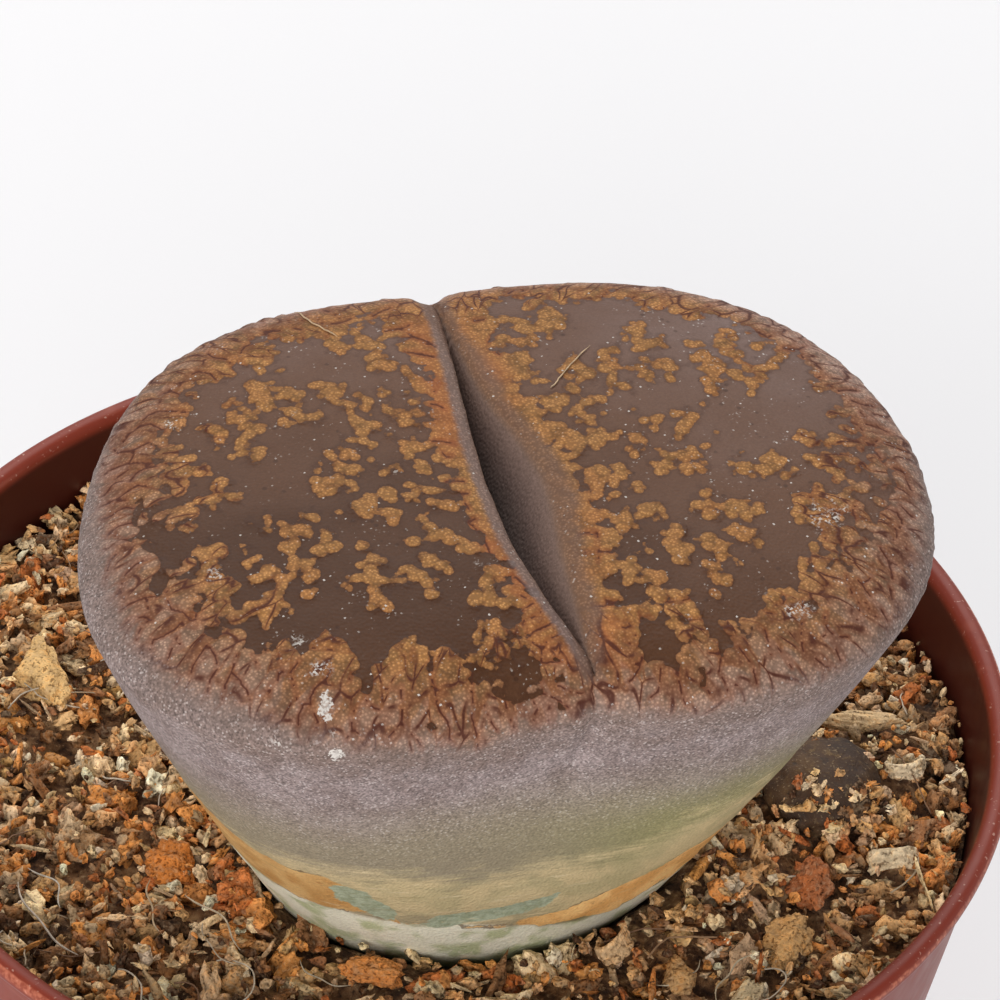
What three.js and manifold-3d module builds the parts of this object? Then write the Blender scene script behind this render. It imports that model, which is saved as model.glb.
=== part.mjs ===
// Potted lithops (living stone) in a small round nursery pot.
// Millimetres, +Z up. Origin: centre of the pot's resting face, z = 0 at its foot ring.
// Pieces: thin plastic pot, bark potting mix, the grown leaf pair with its tap root
// (one piece, split by a fissure on top), one dark stone and the larger loose chips on the mix.
import * as THREE from 'three';
import { mergeVertices } from 'three/addons/utils/BufferGeometryUtils.js';
import Module from 'manifold-3d';

const wasm = await Module();
wasm.setup();

// ---- driving dimensions -------------------------------------------------
const GAP = 0.35;                 // clearance kept between touching solids
const POT_H = 49.0;               // rim above the resting face
const LIP_R = 27.5;               // outside of the rolled lip
const WALL_R_TOP = 26.98;         // wall's outside just under the lip
const WALL_R_BASE = 19.5;         // wall's outside at the foot
const WALL_T = 0.62;
const FLOOR_Z0 = 1.2;             // underside of the floor, above the foot ring
const FLOOR_T = 0.9;
const FOOT_R0 = 16.4;             // foot ring, inner radius
const FOOT_R1 = 19.1;             // foot ring, outer radius
const HOLE_R = 2.4;               // drainage holes
const HOLE_RING = 11.0;
const POT_SEG = 56;

const MIX_Z = 45.0;               // mean level of the potting mix
const MIX_SEG = 48;

// leaf pair: outline of its widest section as a short Fourier series in the turn angle
const OUTLINE = [17.8854, 0.6798, -0.3145, 1.6177, 1.3115, 0.5113, -0.212, -0.533, -0.5527];
const BODY_SHIFT = [0.1472, 0.0183];      // widest section against the root's axis
const BODY_H = 19.98;                     // widest section above the mix
const CROWN_H = 3.0608;                   // crown above the widest section
const CROWN_EXP = 3.2687;
const BASE_SCALE = 0.5227;                // base outline against the widest one
const FLANK_EXP = 1.1087;
const LEAN_DEG = 1.7637;                  // towards -X
const PITCH_DEG = 0.4567;                 // towards +Y
const BODY_AT = [1.9439, -5.1613, 45.0077];
const BODY_SEG = 64;
const ROOT_DEPTH = 24;                    // tip of the tap root below the mix level

// fissure between the two leaves, in the leaf pair's own frame: [left edge x, right edge x, y, depth]
const FISSURE = [
  [-3.35, -3.05, 13.6, 1.6], [-2.78, -2.50, 11.2, 1.6], [-2.28, -1.70, 9.0, 2.2], [-1.62, -0.46, 6.0, 3.2],
  [-1.12, 0.62, 3.7, 4.2], [-0.70, 2.02, 1.6, 5.2], [-0.06, 3.42, -1.1, 6.0], [0.48, 3.98, -3.1, 6.0],
  [1.05, 4.36, -5.0, 5.4], [1.92, 4.58, -7.0, 4.4], [3.10, 5.06, -9.3, 3.2], [4.48, 5.30, -11.3, 2.2],
  [5.32, 5.60, -12.8, 1.5], [5.70, 5.98, -14.3, 1.3],
];

// loose pieces lying on the mix: name, centre x, y, half sizes, turn, lift of the underside, seed, colour
const CHIPS = [
  ['wood_sliver_right', 20.5, 3.6, 2.5, 0.8, 0.55, 0.10, 0.45, 11, 0xb49a78],
  ['bark_curl_right', 22.6, 0.6, 1.0, 1.25, 0.6, 0.3, 0.45, 12, 0xd8c3a0],
  ['cream_flake_right', 22.0, -5.2, 1.4, 1.2, 0.5, 0.7, 0.45, 13, 0xd9c4a2],
  ['rust_bark_lump_right', 18.2, -7.4, 1.3, 1.9, 0.8, 0.2, 0.45, 14, 0xa8653a],
  ['tan_bark_chip_right', 17.0, -11.4, 1.3, 2.1, 0.8, -0.2, 0.45, 15, 0xc39a68],
  ['wood_shard_front', 14.9, -15.9, 0.7, 1.7, 0.5, -0.5, 0.45, 16, 0xc5ab84],
  ['tan_bark_block_front', 12.1, -14.4, 1.0, 1.35, 0.7, 0.3, 0.45, 17, 0xc6a273],
  ['bark_curl_front', 8.9, -13.2, 0.95, 1.2, 0.6, 0.9, 0.45, 18, 0xc2a885],
  ['orange_bark_chip_front', -1.7, -16.0, 2.0, 1.0, 0.7, -0.1, 0.45, 19, 0xbd7a3e],
  ['orange_bark_flake_left', -11.9, -9.6, 1.3, 1.5, 0.5, 0.2, 0.45, 20, 0xc0803f],
  ['cream_bark_chip_left', -19.6, 2.4, 1.5, 2.7, 0.8, 0.35, 0.45, 21, 0xd0b38a],
  ['orange_bark_chip_rear_left', -17.6, 14.0, 1.5, 1.6, 0.8, 0.5, 0.45, 22, 0xb8763c],
];
const STONE = [18.6, -0.9, 2.95, 3.1, 1.9, 0.15, 0.5, 5, 0x5c402b];

// ---- helpers ------------------------------------------------------------
const solidFrom = (geometry) => {
  const g = geometry.index ? geometry.clone() : geometry.clone();
  for (const k of Object.keys(g.attributes)) if (k !== 'position') g.deleteAttribute(k);
  const m = mergeVertices(g, 1e-4);
  const src = m.getIndex().array, tri = [];
  for (let i = 0; i < src.length; i += 3) {
    const [a, b, c] = [src[i], src[i + 1], src[i + 2]];
    if (a !== b && b !== c && a !== c) tri.push(a, b, c);
  }
  return new wasm.Manifold(new wasm.Mesh({
    numProp: 3,
    vertProperties: new Float32Array(m.getAttribute('position').array),
    triVerts: new Uint32Array(tri),
  }));
};
const geometryFrom = (manifold) => {
  const mesh = manifold.getMesh();
  const g = new THREE.BufferGeometry();
  g.setAttribute('position', new THREE.BufferAttribute(new Float32Array(mesh.vertProperties), 3));
  g.setIndex(new THREE.BufferAttribute(new Uint32Array(mesh.triVerts), 1));
  g.computeVertexNormals();
  return g;
};
const place = (geometry, rotationZ, x, y, z) => {
  geometry.rotateZ(rotationZ);
  geometry.translate(x, y, z);
  return geometry;
};
// closed skin through rings of equal length, with a pole at each end
const skin = (rings, bottom, top) => {
  const n = rings[0].length, pos = [bottom], idx = [];
  for (const r of rings) pos.push(...r);
  pos.push(top);
  for (let j = 0; j < n; j++) idx.push(0, 1 + (j + 1) % n, 1 + j);
  for (let i = 0; i + 1 < rings.length; i++) {
    const a = 1 + i * n, b = a + n;
    for (let j = 0; j < n; j++) {
      const k = (j + 1) % n;
      idx.push(a + j, a + k, b + k, a + j, b + k, b + j);
    }
  }
  const a = 1 + (rings.length - 1) * n, t = pos.length - 1;
  for (let j = 0; j < n; j++) idx.push(a + j, a + (j + 1) % n, t);
  const g = new THREE.BufferGeometry();
  g.setAttribute('position', new THREE.BufferAttribute(new Float32Array(pos.flat()), 3));
  g.setIndex(idx);
  return g;
};
const fourier = (c, t) => {
  let r = c[0];
  for (let k = 1; 2 * k < c.length; k++) r += c[2 * k - 1] * Math.cos(k * t) + c[2 * k] * Math.sin(k * t);
  return r;
};
// small steady pseudo-random numbers for the loose pieces
const lcg = (seed) => {
  let s = (seed * 2654435761) % 4294967296;
  return () => { s = (s * 1664525 + 1013904223) % 4294967296; return s / 4294967296; };
};
// level of the potting mix at a place
const mixLevel = (x, y) => MIX_Z
  + 0.32 * Math.sin(0.31 * x + 1.3) * Math.cos(0.27 * y - 0.4)
  + 0.22 * Math.sin(0.62 * x - 0.45 * y + 2.0)
  + 0.12 * Math.sin(1.1 * y + 0.6 * x);

// ---- pot ----------------------------------------------------------------
const wallAt = (z) => WALL_R_BASE + (WALL_R_TOP - WALL_R_BASE) * z / (POT_H - 0.95);
const potProfile = [
  [0, FLOOR_Z0], [FOOT_R0 - 0.6, FLOOR_Z0], [FOOT_R0, 0], [FOOT_R1, 0], [WALL_R_BASE + 0.05, 0.45],
  [wallAt(16), 16], [wallAt(33), 33], [WALL_R_TOP, POT_H - 0.95],
  [LIP_R - 0.12, POT_H - 0.86], [LIP_R, POT_H - 0.62], [LIP_R - 0.02, POT_H - 0.28], [LIP_R - 0.22, POT_H - 0.05],
  [LIP_R - 0.42, POT_H], [LIP_R - 0.72, POT_H - 0.06], [LIP_R - 0.92, POT_H - 0.32], [WALL_R_TOP - WALL_T, POT_H - 0.95],
  [wallAt(33) - WALL_T, 33], [wallAt(16) - WALL_T, 16], [wallAt(3.2) - WALL_T, 3.2],
  [wallAt(2.4) - WALL_T - 0.7, FLOOR_Z0 + FLOOR_T], [0, FLOOR_Z0 + FLOOR_T],
].map(([r, z]) => new THREE.Vector2(r, z));
const potShell = new THREE.LatheGeometry(potProfile, POT_SEG);
potShell.rotateX(Math.PI / 2);
let pot = solidFrom(potShell);
const drain = (x, y) => {
  const g = new THREE.CylinderGeometry(HOLE_R, HOLE_R, 8, 18);
  g.rotateX(Math.PI / 2);
  g.translate(x, y, 2);
  return solidFrom(g);
};
pot = pot.subtract(drain(0, 0));
for (let i = 0; i < 4; i++) {
  const a = Math.PI / 4 + i * Math.PI / 2;
  pot = pot.subtract(drain(HOLE_RING * Math.cos(a), HOLE_RING * Math.sin(a)));
}
// four shallow drain slots across the foot ring
for (let i = 0; i < 4; i++) {
  const a = i * Math.PI / 2 + Math.PI / 4;
  const g = new THREE.BoxGeometry(8, 3.2, 1.6);
  g.rotateZ(a);
  g.translate(18.2 * Math.cos(a), 18.2 * Math.sin(a), 0);
  pot = pot.subtract(solidFrom(g));
}

// ---- leaf pair with its tap root ---------------------------------------
const flank = (w) => (w <= 1 ? Math.pow(Math.max(w, 0), FLANK_EXP) : 1 + 0.25 * FLANK_EXP * (1 - Math.exp(-(w - 1) * 4)));
const toPot = ([x, y, z]) => {
  const a = THREE.MathUtils.degToRad(LEAN_DEG), b = THREE.MathUtils.degToRad(PITCH_DEG);
  const y2 = y * Math.cos(b) + z * Math.sin(b), z2 = -y * Math.sin(b) + z * Math.cos(b);
  return [x * Math.cos(a) - z2 * Math.sin(a) + BODY_AT[0], y2 + BODY_AT[1], x * Math.sin(a) + z2 * Math.cos(a) + BODY_AT[2]];
};
const baseOutline = [OUTLINE[0], 0, 0, OUTLINE[3], OUTLINE[4]].map((v) => v * BASE_SCALE);
const leafPair = (grow, seg, crownRings, flankRings) => {
  const rings = [], angle = (j) => (j / seg) * Math.PI * 2;
  const ring = (f) => Array.from({ length: seg }, (_, j) => toPot(f(angle(j))));
  // tap root, from its tip up
  for (const [z, r] of [[-ROOT_DEPTH + 0.6, 0.45], [-20, 0.9], [-15, 1.5], [-12.2, 2.5], [-10.2, 4.4]]) {
    rings.push(ring((t) => [(r + grow) * Math.cos(t) - 0.02 * z, (r + grow) * Math.sin(t), z]));
  }
  // flank, from below the mix up to the widest section
  for (let i = flankRings; i >= 0; i--) {
    const w = (i / flankRings) * 1.38, g = flank(w);
    rings.push(ring((t) => {
      const R = fourier(OUTLINE, t), B = fourier(baseOutline, t), low = w > 1 ? (w - 1) * 4.0 : 0;
      return [
        (BODY_SHIFT[0] + R * Math.cos(t)) * (1 - g) + (B - low) * Math.cos(t) * g + grow * Math.cos(t),
        (BODY_SHIFT[1] + R * Math.sin(t)) * (1 - g) + (B - low) * Math.sin(t) * g + grow * Math.sin(t),
        BODY_H * (1 - w),
      ];
    }));
  }
  // crown
  for (let i = 1; i <= crownRings; i++) {
    const rho = Math.sqrt(1 - Math.pow(i / (crownRings + 1), 1.6));
    const z = BODY_H + CROWN_H * Math.sqrt(1 - Math.pow(rho, CROWN_EXP));
    rings.push(ring((t) => {
      const R = fourier(OUTLINE, t) * rho;
      return [BODY_SHIFT[0] + (R + grow) * Math.cos(t), BODY_SHIFT[1] + (R + grow) * Math.sin(t), z];
    }));
  }
  return skin(rings, toPot([0.02 * ROOT_DEPTH, 0, -ROOT_DEPTH - grow]), toPot([BODY_SHIFT[0], BODY_SHIFT[1], BODY_H + CROWN_H + grow]));
};
// wedge that opens the fissure: flat on top, its keel under the left leaf's edge
const fissureRings = FISSURE.map(([xl, xr, y, depth]) => {
  const z = BODY_H + CROWN_H + 1.2;
  const keel = [xl + 0.12 * (xr - xl), y, BODY_H + CROWN_H - depth];
  return [[xl, y, z], keel, [xr + 0.05 * (xr - xl), y, z]].map(toPot);
});
const fissureWedge = (() => {
  const n = 3, pos = fissureRings.flat(), idx = [], last = (fissureRings.length - 1) * n;
  for (let i = 0; i + 1 < fissureRings.length; i++) {
    for (let j = 0; j < n; j++) {
      const k = (j + 1) % n, a = i * n, b = a + n;
      idx.push(a + j, b + k, b + j, a + j, a + k, b + k);
    }
  }
  idx.push(0, 2, 1, last, last + 1, last + 2);
  const g = new THREE.BufferGeometry();
  g.setAttribute('position', new THREE.BufferAttribute(new Float32Array(pos.flat()), 3));
  g.setIndex(idx);
  return solidFrom(g);
})();
const plant = solidFrom(leafPair(0, BODY_SEG, 7, 11)).subtract(fissureWedge);

// ---- loose pieces -------------------------------------------------------
const lump = (hx, hy, hz, seed, detail, rough) => {
  const g = mergeVertices((() => { const s = new THREE.IcosahedronGeometry(1, detail); s.deleteAttribute('normal'); s.deleteAttribute('uv'); return s; })(), 1e-4);
  const p = g.getAttribute('position'), next = lcg(seed);
  for (let i = 0; i < p.count; i++) {
    const s = 1 + (next() - 0.5) * 2 * rough;
    // squared-off ends, so a chip reads as a split piece rather than a ball
    const q = (v) => Math.sign(v) * Math.pow(Math.abs(v), 0.75);
    p.setXYZ(i, q(p.getX(i)) * hx * s, q(p.getY(i)) * hy * s, q(p.getZ(i)) * hz * s);
  }
  return g;
};
const looseSolid = (x, y, hx, hy, hz, turn, lift, seed, detail, rough, grow) => {
  const g = lump(hx, hy, hz, seed, detail, rough);
  g.scale((hx + grow) / hx, (hy + grow) / hy, (hz + grow) / hz);
  return solidFrom(place(g, turn, x, y, mixLevel(x, y) + lift));
};

// ---- potting mix --------------------------------------------------------
const mixRings = [];
const mixWall = (z) => wallAt(z) - WALL_T - GAP;
const mixRing = (r, z) => Array.from({ length: MIX_SEG }, (_, j) => {
  const t = (j / MIX_SEG) * Math.PI * 2;
  const x = r * Math.cos(t), y = r * Math.sin(t);
  return [x, y, z === null ? mixLevel(x, y) : z];
});
const MIX_BOTTOM = FLOOR_Z0 + FLOOR_T + GAP;
mixRings.push(mixRing(wallAt(2.4) - WALL_T - 0.9 - GAP, MIX_BOTTOM), mixRing(mixWall(4.2), 4.2), mixRing(mixWall(24), 24), mixRing(mixWall(43.6) - 0.05, 43.6));
for (const r of [25.6, 22.6, 19.4, 16, 12.4, 8.4, 4.2]) mixRings.push(mixRing(r, null));
let mix = solidFrom(skin(mixRings, [0, 0, MIX_BOTTOM], [0, 0, mixLevel(0, 0)]));
mix = mix.subtract(solidFrom(leafPair(GAP, 40, 3, 9)));
mix = mix.subtract(looseSolid(...STONE.slice(0, 8), 1, 0.10, GAP));

// ---- scene graph --------------------------------------------------------
const group = new THREE.Group();
const add = (name, geometry, color, roughness) => {
  const mesh = new THREE.Mesh(geometry, new THREE.MeshStandardMaterial({ color, roughness, metalness: 0 }));
  mesh.name = name;
  group.add(mesh);
  return mesh;
};
add('pot', geometryFrom(pot), 0x8d3f2a, 0.45);
add('potting_mix', geometryFrom(mix), 0x7a5637, 0.95);
add('lithops_plant', geometryFrom(plant), 0x8a7268, 0.55);
add('dark_stone', geometryFrom(looseSolid(...STONE.slice(0, 8), 1, 0.10, 0)), STONE[8], 0.85);
for (const [name, x, y, hx, hy, hz, turn, lift, seed, color] of CHIPS) {
  add(name, geometryFrom(looseSolid(x, y, hx, hy, hz, turn, lift + hz, seed, 1, 0.12, 0)), color, 0.9);
}

export default group;
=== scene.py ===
# Looks of a potted lithops: leaf pair, nursery pot, bark mix, stone and loose chips.
import math
import bpy
import bmesh
import numpy as np
from mathutils import Matrix, Vector
from mathutils.geometry import delaunay_2d_cdt


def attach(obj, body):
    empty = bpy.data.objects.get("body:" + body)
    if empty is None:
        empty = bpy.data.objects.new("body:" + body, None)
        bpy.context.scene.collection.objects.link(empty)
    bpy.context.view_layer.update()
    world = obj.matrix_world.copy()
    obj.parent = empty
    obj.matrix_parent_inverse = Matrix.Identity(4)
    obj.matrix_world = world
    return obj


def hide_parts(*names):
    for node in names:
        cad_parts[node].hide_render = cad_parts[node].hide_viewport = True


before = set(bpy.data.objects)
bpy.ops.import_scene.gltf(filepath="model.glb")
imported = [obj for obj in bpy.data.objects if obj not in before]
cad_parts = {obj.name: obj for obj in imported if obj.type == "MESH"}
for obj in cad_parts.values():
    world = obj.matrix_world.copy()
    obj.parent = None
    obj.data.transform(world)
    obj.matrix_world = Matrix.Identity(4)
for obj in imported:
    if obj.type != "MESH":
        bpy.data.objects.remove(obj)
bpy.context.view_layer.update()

MM = 0.001
scene = bpy.context.scene
scene.view_settings.view_transform = "Standard"
scene.view_settings.look = "None"

# ------------------------------------------------------------------ camera
EL, ROLL, DIST, TX, TY, RIM_Z = 39.213, 4.352, 239.497, 2.131, 15.019, 49.0
_e, _r = math.radians(EL), math.radians(ROLL)
BACK = np.array([0.0, -math.cos(_e), math.sin(_e)])
_right, _up = np.array([1.0, 0, 0]), np.array([0.0, math.sin(_e), math.cos(_e)])
R2 = _right * math.cos(_r) + _up * math.sin(_r)
U2 = -_right * math.sin(_r) + _up * math.cos(_r)
EYE = np.array([TX, TY, RIM_Z]) + BACK * DIST
FOCAL = 500 / math.tan(math.radians(6.0))


def front_view(P):
    """Front-view coordinates (0..1000 each way) of points in mm."""
    d = P - EYE
    z = -(d @ BACK)
    return 500 + FOCAL * (d @ R2) / z, 500 - FOCAL * (d @ U2) / z


cam_data = bpy.data.cameras.new("camera")
cam_data.sensor_fit = "HORIZONTAL"
cam_data.sensor_width = 36.0
cam_data.angle = math.radians(12.0)
cam_data.clip_start, cam_data.clip_end = 0.01, 20
cam = bpy.data.objects.new("camera", cam_data)
scene.collection.objects.link(cam)
M = Matrix.Identity(4)
for i, axis in enumerate((R2, U2, BACK)):
    for k in range(3):
        M[k][i] = axis[k]
for k in range(3):
    M[k][3] = EYE[k] * MM
cam.matrix_world = M
scene.camera = cam


# ------------------------------------------------------------------ small tools
def lin(rgb):
    out = []
    for v in rgb:
        v = v / 255
        out.append(v / 12.92 if v <= 0.04045 else ((v + 0.055) / 1.055) ** 2.4)
    return (*out, 1.0)


def vnoise(p, seed=0):
    """Smooth value noise in -1..1 at points p (N, 3)."""
    i = np.floor(p).astype(np.int64)
    f = p - i
    u = f * f * f * (f * (f * 6 - 15) + 10)
    out = np.zeros(len(p))
    for cx in (0, 1):
        for cy in (0, 1):
            for cz in (0, 1):
                n = ((i[:, 0] + cx) * 374761393 + (i[:, 1] + cy) * 668265263 + (i[:, 2] + cz) * 1103515245 + seed * 974634777) & 0xFFFFFFFF
                n = ((n ^ (n >> 13)) * 1274126177) & 0xFFFFFFFF
                n = n ^ (n >> 16)
                h = (n & 0xFFFF) / 32767.5 - 1
                w = (u[:, 0] if cx else 1 - u[:, 0]) * (u[:, 1] if cy else 1 - u[:, 1]) * (u[:, 2] if cz else 1 - u[:, 2])
                out += h * w
    return out


def fbm(p, octaves=4, seed=0, gain=0.5):
    out, amp, norm = np.zeros(len(p)), 1.0, 0.0
    for k in range(octaves):
        out += amp * vnoise(p * 2.03 ** k + 17.3 * k, seed + k)
        norm += amp
        amp *= gain
    return out / norm


def smooth(a, b, x):
    t = np.clip((x - a) / (b - a), 0, 1)
    return t * t * (3 - 2 * t)


def new_object(name, verts, faces, material, attrs=None, flat=False):
    """Mesh object from mm vertices and an array of triangles or quads."""
    me = bpy.data.meshes.new(name)
    verts = np.asarray(verts, float) * MM
    faces = np.asarray(faces, np.int32)
    k = faces.shape[1]
    me.vertices.add(len(verts))
    me.vertices.foreach_set("co", verts.astype(np.float32).ravel())
    me.loops.add(faces.size)
    me.loops.foreach_set("vertex_index", faces.ravel())
    me.polygons.add(len(faces))
    me.polygons.foreach_set("loop_start", np.arange(0, faces.size, k, dtype=np.int32))
    me.polygons.foreach_set("use_smooth", np.full(len(faces), not flat))
    me.update(calc_edges=True)
    me.validate()
    for key, val in (attrs or {}).items():
        val = np.asarray(val, np.float32)
        if val.ndim == 1:
            me.attributes.new(key, "FLOAT", "POINT").data.foreach_set("value", val)
        elif val.shape[1] == 3:
            me.attributes.new(key, "FLOAT_VECTOR", "POINT").data.foreach_set("vector", val.ravel())
        else:
            me.attributes.new(key, "FLOAT_COLOR", "POINT").data.foreach_set("color", val.ravel())
    ob = bpy.data.objects.new(name, me)
    scene.collection.objects.link(ob)
    if material:
        me.materials.append(material)
    return ob


class Graph:
    """Short-hand for building a node material."""

    def __init__(self, name):
        self.mat = bpy.data.materials.new(name)
        self.mat.use_nodes = True
        self.t = self.mat.node_tree
        self.t.nodes.clear()
        self.out = self.t.nodes.new("ShaderNodeOutputMaterial")
        self.bsdf = self.t.nodes.new("ShaderNodeBsdfPrincipled")
        self.t.links.new(self.bsdf.outputs[0], self.out.inputs[0])
        self.pos = self.t.nodes.new("ShaderNodeTexCoord").outputs["Object"]

    def put(self, sock, v):
        if hasattr(v, "is_linked") or isinstance(v, bpy.types.NodeSocket):
            self.t.links.new(v, sock)
        elif isinstance(v, (tuple, list)):
            sock.default_value = v if len(v) == len(sock.default_value) else (*v, 1.0)[: len(sock.default_value)]
        else:
            sock.default_value = v

    def math(self, op, a, b=0.0, c=0.0, clamp=False):
        n = self.t.nodes.new("ShaderNodeMath")
        n.operation = op
        n.use_clamp = clamp
        for s, v in zip(n.inputs, (a, b, c)):
            self.put(s, v)
        return n.outputs[0]

    def add(self, a, b): return self.math("ADD", a, b)
    def sub(self, a, b): return self.math("SUBTRACT", a, b)
    def mul(self, a, b): return self.math("MULTIPLY", a, b)
    def mad(self, a, b, c): return self.math("MULTIPLY_ADD", a, b, c)
    def mx(self, a, b): return self.math("MAXIMUM", a, b)
    def mn(self, a, b): return self.math("MINIMUM", a, b)

    def step(self, x, lo, hi, a=0.0, b=1.0):
        n = self.t.nodes.new("ShaderNodeMapRange")
        n.interpolation_type = "SMOOTHSTEP"
        for s, v in zip(n.inputs[:5], (x, lo, hi, a, b)):
            self.put(s, v)
        return n.outputs[0]

    def line(self, x, lo, hi, a=0.0, b=1.0):
        n = self.t.nodes.new("ShaderNodeMapRange")
        for s, v in zip(n.inputs[:5], (x, lo, hi, a, b)):
            self.put(s, v)
        return n.outputs[0]

    def attr(self, name, out="Fac"):
        n = self.t.nodes.new("ShaderNodeAttribute")
        n.attribute_name = name
        return n.outputs[out]

    def noise(self, scale, detail=2.0, rough=0.5, vec=None, distort=0.0):
        n = self.t.nodes.new("ShaderNodeTexNoise")
        self.put(n.inputs["Vector"], vec or self.pos)
        n.inputs["Scale"].default_value = scale
        n.inputs["Detail"].default_value = detail
        n.inputs["Roughness"].default_value = rough
        n.inputs["Distortion"].default_value = distort
        return n.outputs[0]

    def voro(self, scale, feature="F1", out="Distance", vec=None, rand=1.0):
        n = self.t.nodes.new("ShaderNodeTexVoronoi")
        n.feature = feature
        self.put(n.inputs["Vector"], vec or self.pos)
        n.inputs["Scale"].default_value = scale
        n.inputs["Randomness"].default_value = rand
        return n.outputs[out]

    def mix(self, f, a, b, mode="MIX"):
        n = self.t.nodes.new("ShaderNodeMix")
        n.data_type = "RGBA"
        n.blend_type = mode
        n.clamp_factor = True
        self.put(n.inputs[0], f)
        self.put(n.inputs[6], a)
        self.put(n.inputs[7], b)
        return n.outputs[2]

    def ramp(self, f, stops):
        n = self.t.nodes.new("ShaderNodeValToRGB")
        el = n.color_ramp.elements
        while len(el) < len(stops):
            el.new(0.5)
        for e, (p, c) in zip(el, stops):
            e.position = p
            e.color = c
        self.put(n.inputs[0], f)
        return n.outputs[0]

    def scale(self, col, f):
        """Colour times a number socket."""
        n = self.t.nodes.new("ShaderNodeVectorMath")
        n.operation = "SCALE"
        self.put(n.inputs[0], col)
        self.put(n.inputs["Scale"], f)
        return n.outputs[0]

    def vmul(self, v, xyz):
        n = self.t.nodes.new("ShaderNodeVectorMath")
        n.operation = "MULTIPLY"
        self.put(n.inputs[0], v)
        n.inputs[1].default_value = xyz
        return n.outputs[0]

    def vadd(self, a, b):
        n = self.t.nodes.new("ShaderNodeVectorMath")
        self.put(n.inputs[0], a)
        self.put(n.inputs[1], b)
        return n.outputs[0]

    def bump(self, h, dist, strength=1.0, normal=None):
        n = self.t.nodes.new("ShaderNodeBump")
        n.inputs["Strength"].default_value = strength
        n.inputs["Distance"].default_value = dist
        self.put(n.inputs["Height"], h)
        if normal is not None:
            self.put(n.inputs["Normal"], normal)
        return n.outputs[0]

    def set(self, **kw):
        for k, v in kw.items():
            self.put(self.bsdf.inputs[k.replace("_", " ")], v)
        return self.mat


def seg(px, py, x1, y1, x2, y2):
    dx, dy = x2 - x1, y2 - y1
    length = dx * dx + dy * dy
    t = np.clip(((px - x1) * dx + (py - y1) * dy) / length, 0, 1) if length > 0 else 0
    return np.hypot(px - x1 - t * dx, py - y1 - t * dy)


def polygon_field(px, py, pts):
    """Signed distance to a closed outline, positive inside."""
    d = np.full(px.shape, 1e9)
    inside = np.zeros(px.shape, bool)
    for a, b in zip(pts, pts[1:] + pts[:1]):
        d = np.minimum(d, seg(px, py, *a, *b))
        if a[1] != b[1]:
            inside ^= ((a[1] > py) != (b[1] > py)) & (px < (b[0] - a[0]) * (py - a[1]) / (b[1] - a[1]) + a[0])
    return np.where(inside, d, -d)

# ------------------------------------------------------------------ leaf faces: drawn markings
# Outlines of the two dark windows, the grown patches in them and the crevices of the margin, each drawn in front-view
# units.
ZONE_L = [(410,338),(398,341),(386,332),(383,321),(372,317),(358,316),(351,321),(350,331),(345,335),(330,338),(315,339),(303,340),
 (288,342),(277,341),(268,336),(256,338),(250,342),(262,345),(271,347),(278,355),(276,363),(266,366),(252,369),(243,366),(238,362),(234,367),(233,379),(222,380),
 (213,383),(198,384),(190,382),(186,387),(178,391),(180,397),(179,404),(184,410),(188,417),(186,425),(176,431),(160,431),(153,437),(150,443),
 (153,450),(154,460),(151,464),(158,467),(159,476),(157,485),(150,488),(161,491),(166,497),(160,505),(150,509),(144,507),(142,501),(136,501),(134,508),(136,515),
 (133,522),(137,529),(136,537),(129,541),(140,545),(149,552),(150,557),(163,558),(164,569),(157,574),(152,578),(151,590),(156,598),(163,593),(169,590),
 (170,581),(178,580),(190,578),(198,580),(199,600),(195,610),(190,618),(196,622),(206,631),(208,645),(213,639),(222,633),(232,628),(243,628),(247,638),(244,648),(237,655),
 (242,650),(252,651),(258,657),(264,655),(273,655),(279,661),(277,647),(281,639),(288,638),(297,650),(302,657),(308,650),(310,643),(318,636),
 (326,630),(338,635),(348,642),(353,650),(357,659),(357,668),(352,675),(361,676),(366,684),(368,690),(372,680),(374,668),(376,662),(384,658),
 (392,650),(398,640),(405,637),(415,638),(420,646),(427,647),(430,656),(431,668),(433,658),(440,648),(450,647),(458,653),(462,661),(461,668),(470,673),(473,682),
 (477,684),(485,680),(490,685),(495,694),(503,701),(512,703),(524,700),(534,698),(541,692),(541,683),(541,670),(540,662),(531,657),(528,649),(535,643),(530,636),(526,630),(522,621),
 (520,613),(526,606),(512,600),(503,598),(503,586),(512,582),(506,568),(495,562),(488,550),(484,540),(478,531),(466,521),(470,511),(462,499),(455,491),(450,480),
 (456,470),(448,460),(441,450),(433,441),(431,432),(437,425),(430,419),(430,410),(421,401),(427,396),(424,386),(436,378),(424,371),(414,362),(405,352),(394,345)]
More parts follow.
